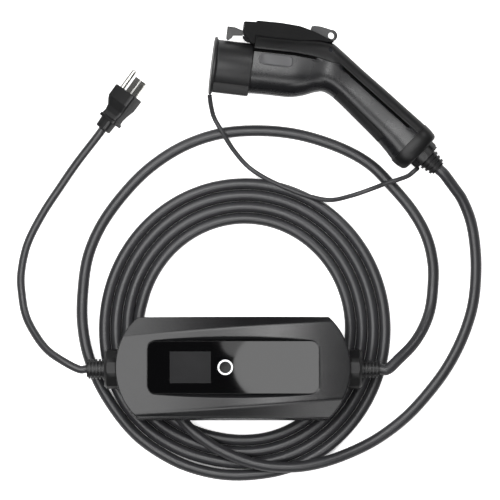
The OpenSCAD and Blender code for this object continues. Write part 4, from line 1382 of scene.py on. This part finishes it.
@dataclass
class LatchTrim:
    """Thicker foot of the latch's hook and the small shoulder behind it, which the solids leave plain.

    Attributes:
        place: Frame of the connector.
        hook: Corners of the hook's foot.
        hook_half: Half its thickness.
        shoulder: Corners of the shoulder.
        shoulder_half: Half its thickness.
        edge: Depth of the rim that is drawn in.
        drawn_in: Share of the outline that is left at the rim.
    """

    place: Place
    hook: Corners = ((11.5, 34.0), (23.6, 35.0), (24.0, 31.5), (14.8, 30.4), (14.4, 28.7), (13.7, 27.4),
                     (12.3, 27.2))
    hook_half: float = 4.3
    shoulder: Corners = ((24.4, 31.2), (35.5, 32.2), (36.5, 26.0), (29.6, 25.8), (26.8, 27.2), (24.7, 29.3))
    shoulder_half: float = 9.0
    edge: float = 0.4
    drawn_in: float = 0.94

    def prism(self, name: str, outline: Corners, half: float) -> bpy.types.Object:
        """Build a block of one outline with its two rims drawn in.

        Args:
            name: Name of the object.
            outline: Corners in the connector's frame.
            half: Half its thickness.

        Returns:
            The new object.
        """
        middle = sum((Vector(p) for p in outline), Vector((0.0, 0.0))) / len(outline)
        levels = ((-half, self.drawn_in), (self.edge - half, 1.0), (half - self.edge, 1.0),
                  (half, self.drawn_in))
        rings = [[(*(middle + (Vector(p) - middle) * share), z) for p in outline] for z, share in levels]
        return skin_object(name, self.place, rings, crease=30.0)

    def build(self) -> None:
        """Build the hook's foot on the latch and the shoulder on the handle."""
        place_piece(self.prism("hook_foot", self.hook, self.hook_half), CAP_RUBBER, Body.LATCH)
        place_piece(self.prism("catch_shoulder", self.shoulder, self.shoulder_half), COVER_ABS, Body.ROOT)


@dataclass
class LatchSpring:
    """Return spring under the latch lever, wound at its free length.

    Attributes:
        place: Frame of the connector.
        at_x: Place of its axis along the handle.
        foot: Height of its foot.
        free_length: Length at rest.
        coil_r: Radius of the coil at the wire's middle.
        wire_r: Radius of the wire.
        turns: Turns of the wire.
        steps: Points in a turn.
        wire_sides: Points round the wire.
        pressed: Share of its length that is left when the lever is down.
    """

    place: Place
    at_x: float = 84.0
    foot: float = 27.05
    free_length: float = 8.0
    coil_r: float = 2.6
    wire_r: float = 0.4
    turns: int = 4
    steps: int = 24
    wire_sides: int = 10
    # pressed: Share of its length that is left when the lever is down; not used.
    pressed: float = 0.76

    def build(self) -> bpy.types.Object:
        """Wind the wire.

        Returns:
            The new object.
        """
        count = self.turns * self.steps
        rise = (self.free_length - 2 * self.wire_r) / count
        line = []
        for k in range(count + 1):
            a = 2 * math.pi * k / self.steps
            line.append(self.place.at(self.at_x + self.coil_r * math.cos(a),
                                      self.foot + self.wire_r + rise * k, self.coil_r * math.sin(a)))
        piece = tube_mesh("latch_coil", line, self.wire_r * MM, self.wire_sides)
        place_piece(piece, ZINC, Body.ROOT, "latch_spring")
        up = self.place.matrix.col[1].to_3d().normalized()
        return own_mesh(piece, "latch_pivot", axis=tuple(up),
                         anchor=tuple(self.place.at(self.at_x, self.foot)), keep=self.pressed)


@dataclass
class Cables:
    """Main cable, supply cord and cap strap, laid as in the photograph.

    Attributes:
        plan: Frame of the plan.
        box: Frame of the box.
        connector: Frame of the connector.
        main_d: Diameter of the main cable.
        supply_d: Diameter of the supply cord.
        strap_d: Diameter of the strap.
        main_steps: Pieces between one point of the main cable and the next.
        cord_steps: The same for the supply cord and the strap.
        gland_face: Place of the box's nuts' faces along it.
        gland_z: Their height.
        relief_len: Length of the sleeves.
        relief_run: Straight length past a sleeve.
        turn_radii: Radii of the coil's turns across.
        taller: How much larger their radii are up the plan.
        coil_start: Angle in degrees where a turn starts.
        coil_end: Angle in degrees where the last turn ends.
        coil_steps: Points in a turn.
        draw_start: Angle in degrees from which a turn is drawn in to the next.
        draw_over: Angle in degrees over which that goes on.
        floor_z: Height of the main cable's middle on the floor.
        connector_in: Places along the grip of the main cable's last points.
        plug_in: Places along the plug of the supply cord's last points.
        strap_cap: The strap's end on the cap's rim.
        strap_sleeve: Its end on the sleeve, along and across the grip.
    """

    plan: Place
    box: Place
    connector: Place
    main_d: float = 10.6
    supply_d: float = 7.6
    strap_d: float = 4.4
    main_steps: int = 6
    cord_steps: int = 8
    gland_face: float = 122.1
    gland_z: float = 22.0
    relief_len: float = 16.6
    relief_run: float = 8.0
    turn_radii: tuple[float, ...] = (133.6, 122.6, 111.6, 100.6)
    taller: float = 5.0
    coil_start: float = -75.0
    coil_end: float = 180.0
    coil_steps: int = 24
    draw_start: float = 200.0
    draw_over: float = 68.0
    floor_z: float = 5.4
    connector_in: Triple = (230.0, 222.0, 205.0)
    plug_in: Pair = (-51.0, -43.0)
    strap_cap: Pair = (-0.25, -28.7)
    strap_sleeve: Pair = (207.5, 63.5)

    def gland_points(self, side: float) -> list[Vector]:
        """Give the straight start of a cable out of the box.

        Args:
            side: One for the output side, minus one for the supply side.

        Returns:
            Points at the nut's face, the sleeve's end and a little beyond.
        """
        end = self.gland_face + self.relief_len
        return [self.box.at(side * x, 0, self.gland_z) for x in (self.gland_face, end, end + self.relief_run)]

    def coil_points(self) -> list[Vector]:
        """Wind the turns, each one drawn in to the next at the lower left.

        Returns:
            Points of the coil, from its outer turn inward.
        """
        points = []
        last = len(self.turn_radii) - 1
        for turn, outer in enumerate(self.turn_radii):
            inner = self.turn_radii[min(turn + 1, last)]
            for step in range(self.coil_steps):
                angle = self.coil_start + 360 / self.coil_steps * step
                if turn == last and angle > self.coil_end:
                    break
                share = clamp((angle - self.draw_start) / self.draw_over)
                radius = outer + (inner - outer) * share * share * (3 - 2 * share)
                a = math.radians(angle)
                points.append(self.plan.at(COIL_AT[0] + radius * math.cos(a),
                                           COIL_AT[1] + (radius + self.taller) * math.sin(a), self.floor_z))
        return points

    def on_plan(self, points: Sequence[Pair | Point]) -> list[Vector]:
        """Set points of the plan, which lie on the floor where they have no height."""
        return [self.plan.at(*p) if len(p) == 3 else self.plan.at(*p, self.floor_z) for p in points]

    def main_route(self) -> list[Vector]:
        """Give the whole main cable.

        Returns:
            Its points, from the box to the connector.
        """
        fall = [(158, 10, 32), (170, 22, 25), (180, 37, 16.5), (187, 55, 9), (190, 77, 5.6)]
        loop = [(190, 100), (184, 125), (171, 149), (152, 172), (130, 194), (101, 210), (63, 222), (25, 226),
                (-13, 223), (-48, 211), (-79, 191), (-104, 166), (-125, 137), (-138, 107), (-143, 75),
                (-143.5, 42), (-137, 9), (-121, -26.5), (-93.5, -62.5), (-60, -86), (-28, -98), (6, -102)]
        climb = [(-77, -8, 5.8), (-62, -31, 8), (-52, -45, 12), (-36, -62, 16), (-10, -79, 16.1),
                 (22, -91, 16.1), (54, -94, 15.8), (83, -90, 13), (112, -80, 8.6), (139, -66, 5.8)]
        sweep = [(165, -46), (187, -22), (205, 3), (219, 31), (228, 60), (231, 90), (230, 117)]
        rise = [(226, 140, 6.4), (218, 160, 10.4), (209, 173, 14.6)]
        ends = [self.connector.at(*grip_point(along, GRIP_MID)) for along in self.connector_in]
        return (self.gland_points(1) + self.on_plan(fall + loop) + self.coil_points()
                + self.on_plan(climb + sweep + rise) + ends)

    def supply_route(self, plug: Place) -> list[Vector]:
        """Give the supply cord.

        Args:
            plug: Frame of the plug.

        Returns:
            Its points, from the box to the plug.
        """
        points = [(-163, 8, 32), (-177, 18, 25), (-188, 32, 16), (-197, 49, 8), (-201, 68, 4.1),
                  (-202, 90, 3.9), (-196, 118, 3.9), (-182, 146, 3.9), (-165, 172, 4.4), (-149, 195, 8)]
        return self.gland_points(-1) + self.on_plan(points) + [plug.at(x, 0) for x in self.plug_in]

    def strap_route(self) -> list[Vector]:
        """Give the strap.

        Returns:
            Its points, from the foot of the connector's sleeve to the cap's rim.
        """
        points = [(171.5, 187, 25), (166, 182.8, 21.5), (157, 179.4, 17), (146, 176, 13), (130, 170, 6),
                  (112, 164, 5), (93, 160, 11), (74, 163, 13), (54, 170, 12.4), (32, 180, 6.5),
                  (14, 192, 2.6), (0, 208, 7), (-10, 224, 13.2), (-18, 238, 15), (-21, 249, 21)]
        sleeve = self.connector.at(*grip_point(*self.strap_sleeve))
        return [sleeve] + self.on_plan(points) + [self.connector.at(*self.strap_cap)]

    def build(self, plug: Place) -> None:
        """Args:
            plug: Frame of the plug.
        """
        line = smooth(self.main_route(), self.main_steps)
        main_cable = place_piece(tube_object("main_cable", line, self.main_d * MM), JACKET_TPE, Body.ROOT,
                                 "output_lead", "main_cable_coil", "connector_lead")
        LOG.info("main cable %.3f m", length_of(line))
        line = smooth(self.supply_route(plug), self.cord_steps)
        supply = place_piece(tube_object("supply_cable", line, self.supply_d * MM), JACKET_TPE, Body.ROOT,
                             "supply_cord")
        LOG.info("supply cord %.3f m", length_of(line))
        line = smooth(self.strap_route(), self.cord_steps)
        strap = place_strap(tube_mesh("cap_strap", line, self.strap_d / 2 * MM))
        LOG.info("cap strap %.3f m", length_of(line))


@dataclass(frozen=True)
class SoftBox:
    """Soft box that faces the floor under it.

    Attributes:
        name: Name of the lamp.
        at: Place over the floor in millimetres.
        size: Width and depth in millimetres.
        radiance: Brightness of its face.
        shape: Shape of its face.
    """

    name: str
    at: Pair
    size: Pair
    radiance: float
    shape: LampShape = LampShape.RECTANGLE

    def hang(self, height: float) -> None:
        """Hang the box.

        Args:
            height: Height over the floor in millimetres.
        """
        lamp = bpy.data.lights.new(self.name, "AREA")
        lamp.shape = self.shape.value
        lamp.size, lamp.size_y = (side * MM for side in self.size)
        filled = math.pi / 4 if self.shape is LampShape.ELLIPSE else 1.0
        area = self.size[0] * MM * self.size[1] * MM * filled
        lamp.energy = self.radiance * area * math.pi
        holder = bpy.data.objects.new(self.name, lamp)
        holder.location = (self.at[0] * MM, self.at[1] * MM, height * MM)
        holder.visible_camera = False
        bpy.context.scene.collection.objects.link(holder)


# Boxes that the panel mirrors, boxes round the table, and one over the grip for its highlight
SOFT_BOXES = (
    SoftBox("panel_box", (41, 67), (150, 102), 4.0, LampShape.ELLIPSE),
    SoftBox("panel_glint", (-28, 95), (40, 36), 2.0, LampShape.ELLIPSE),
    SoftBox("left_box", (-620, 80), (800, 1450), 4.0),
    SoftBox("corner_box", (-900, 1700), (800, 1400), 3.8),
    SoftBox("back_box", (1150, 1600), (700, 900), 7.0),
    SoftBox("low_box", (-100, -720), (900, 360), 4.5),
    SoftBox("right_box", (620, 250), (650, 1000), 0.2),
    SoftBox("grip_box", (150, 70), (140, 340), 12.0),
    SoftBox("front_box", (540, -1250), (420, 600), 4.0),
    SoftBox("top_box", (25, 370), (750, 460), 6.0),
)


@dataclass
class Studio:
    """Camera straight above, white floor and soft boxes.

    Attributes:
        middle: Point of the floor under the camera.
        height: Height of the camera.
        wide: Width of the picture at the level of the part.
        level: That level.
        sensor: Width of the camera's sensor.
        clip: Distance that the camera sees to.
        floor: Side of the floor.
        floor_drop: How far the floor lies under the part.
        fibre: Size of the paper's fibres, far coarser than real ones so that they show.
        shade_reach: Distance within which the part's painted shade dims the floor's glow.
        shade: Open share of the sky at which the floor starts to glow and glows in full.
        glow: Strength of that glow.
        sky_rise: Rise of a ray where the horizon's light starts to fade and where it ends.
        sky_light: Light of the horizon and of the ceiling.
        lamp_height: Height of the soft boxes.
    """

    middle: Pair = (-15.0, -27.9)
    height: float = 7000.0
    wide: float = 475.0
    level: float = 20.0
    sensor: float = 36.0
    clip: float = 20000.0
    floor: float = 6000.0
    floor_drop: float = 0.3
    fibre: float = 2.5
    shade_reach: float = 20.0
    shade: Pair = (0.05, 0.55)
    glow: float = 0.9
    sky_rise: Pair = (0.35, 0.95)
    sky_light: Pair = (0.14, 0.05)
    lamp_height: float = 1500.0

    def build(self) -> None:
        """Set the camera, the floor, the sky and the soft boxes."""
        bpy.context.scene.view_settings.view_transform = "Standard"
        self.set_camera()
        self.lay_floor()
        self.light_room()
        for lamp in SOFT_BOXES:
            lamp.hang(self.lamp_height)

    def set_camera(self) -> None:
        """Hang the camera over the part, high up with a long lens."""
        lens = bpy.data.cameras.new("camera")
        lens.sensor_width = self.sensor
        lens.lens = self.sensor * (self.height - self.level) / self.wide
        lens.clip_end = self.clip * MM
        camera = bpy.data.objects.new("camera", lens)
        camera.location = (self.middle[0] * MM, self.middle[1] * MM, self.height * MM)
        bpy.context.scene.collection.objects.link(camera)
        bpy.context.scene.camera = camera

    def lay_floor(self) -> None:
        """Lay the white floor under the part."""
        half = self.floor * MM / 2
        data = bpy.data.meshes.new("floor")
        corners = [(-half, -half, 0), (half, -half, 0), (half, half, 0), (-half, half, 0)]
        data.from_pydata(corners, [], [(0, 1, 2, 3)])
        data.materials.append(self.floor_material())
        floor = bpy.data.objects.new("floor", data)
        floor.location.z = -self.floor_drop * MM
        bpy.context.scene.collection.objects.link(floor)

    def floor_material(self) -> bpy.types.Material:
        """Build a pale sheet that stays white to the lens and keeps its shadow, with shade painted into its
        glow near the part.

        Returns:
            The new material.
        """
        made = bpy.data.materials.new("white_paper_sweep")
        made.use_nodes = True
        tree = made.node_tree
        tree.nodes.clear()
        ray = add_node(tree, "ShaderNodeLightPath")
        # Ambient occlusion dims the camera-only glow near the part: painted shade
        near = add_node(tree, "ShaderNodeAmbientOcclusion", {"Distance": self.shade_reach * MM}, samples=8)
        open_sky = add_node(tree, "ShaderNodeMapRange",
                            {"From Min": self.shade[0], "From Max": self.shade[1],
                             "To Min": 0.0, "To Max": self.glow},
                            {"Value": near.outputs["AO"]})
        seen = add_node(tree, "ShaderNodeMath", None,
                        {0: ray.outputs["Is Camera Ray"], 1: open_sky.outputs[0]}, operation="MULTIPLY")
        glow = add_node(tree, "ShaderNodeEmission", None, {"Strength": seen.outputs[0]})
        where = add_node(tree, "ShaderNodeTexCoord").outputs["Object"]
        fibre = add_node(tree, "ShaderNodeTexNoise", {"Scale": 1 / (self.fibre * MM)}, {"Vector": where})
        hue = add_node(tree, "ShaderNodeMixRGB", {"Color1": linear("#f4f4f4"), "Color2": linear("#f8f8f8")},
                       {"Fac": fibre.outputs["Fac"]})
        paper = add_node(tree, "ShaderNodeBsdfDiffuse", None, {"Color": hue.outputs["Color"]})
        both = add_node(tree, "ShaderNodeAddShader", None, {0: paper.outputs[0], 1: glow.outputs[0]})
        add_node(tree, "ShaderNodeOutputMaterial", None, {"Surface": both.outputs[0]})
        return made

    def light_room(self) -> None:
        """Light the room from a pale horizon under a dark ceiling."""
        world = bpy.data.worlds.new("studio_room")
        world.use_nodes = True
        tree = world.node_tree
        tree.nodes.clear()
        where = add_node(tree, "ShaderNodeTexCoord").outputs["Generated"]
        up = add_node(tree, "ShaderNodeSeparateXYZ", None, {"Vector": where}).outputs["Z"]
        fade = add_node(tree, "ShaderNodeMapRange",
                        {"From Min": self.sky_rise[0], "From Max": self.sky_rise[1],
                         "To Min": self.sky_light[0], "To Max": self.sky_light[1]}, {"Value": up})
        back = add_node(tree, "ShaderNodeBackground", None, {"Strength": fade.outputs["Result"]})
        add_node(tree, "ShaderNodeOutputWorld", None, {"Surface": back.outputs["Background"]})
        bpy.context.scene.world = world


def dress_solids() -> None:
    """Give every solid of the frame its finish."""
    for finish, names in NODE_FINISHES.items():
        for name in names:
            data = frame["nodes"][name].data
            data.materials.clear()
            data.materials.append(finish.material())
            LOG.info("%s dressed in %s", name, finish.name)


def main() -> None:
    """Build studio, cables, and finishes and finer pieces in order."""
    logging.basicConfig(level=logging.INFO, format="%(name)s: %(message)s")
    Studio().build()
    plan = plan_place()
    box = box_place()
    connector = connector_place()
    plug = plug_place(plan)
    Cables(plan, box, connector).build(plug)
    dress_solids()
    BoxCover(box).build()
    Handle(connector).build()
    Cap(connector).build()
    LatchTrim(connector).build()
    LatchSpring(connector).build()
    for node, width in EDGE_WIDTHS.items():
        SoftEdges().soften(node, width)


if __name__ == "__main__":
    main()
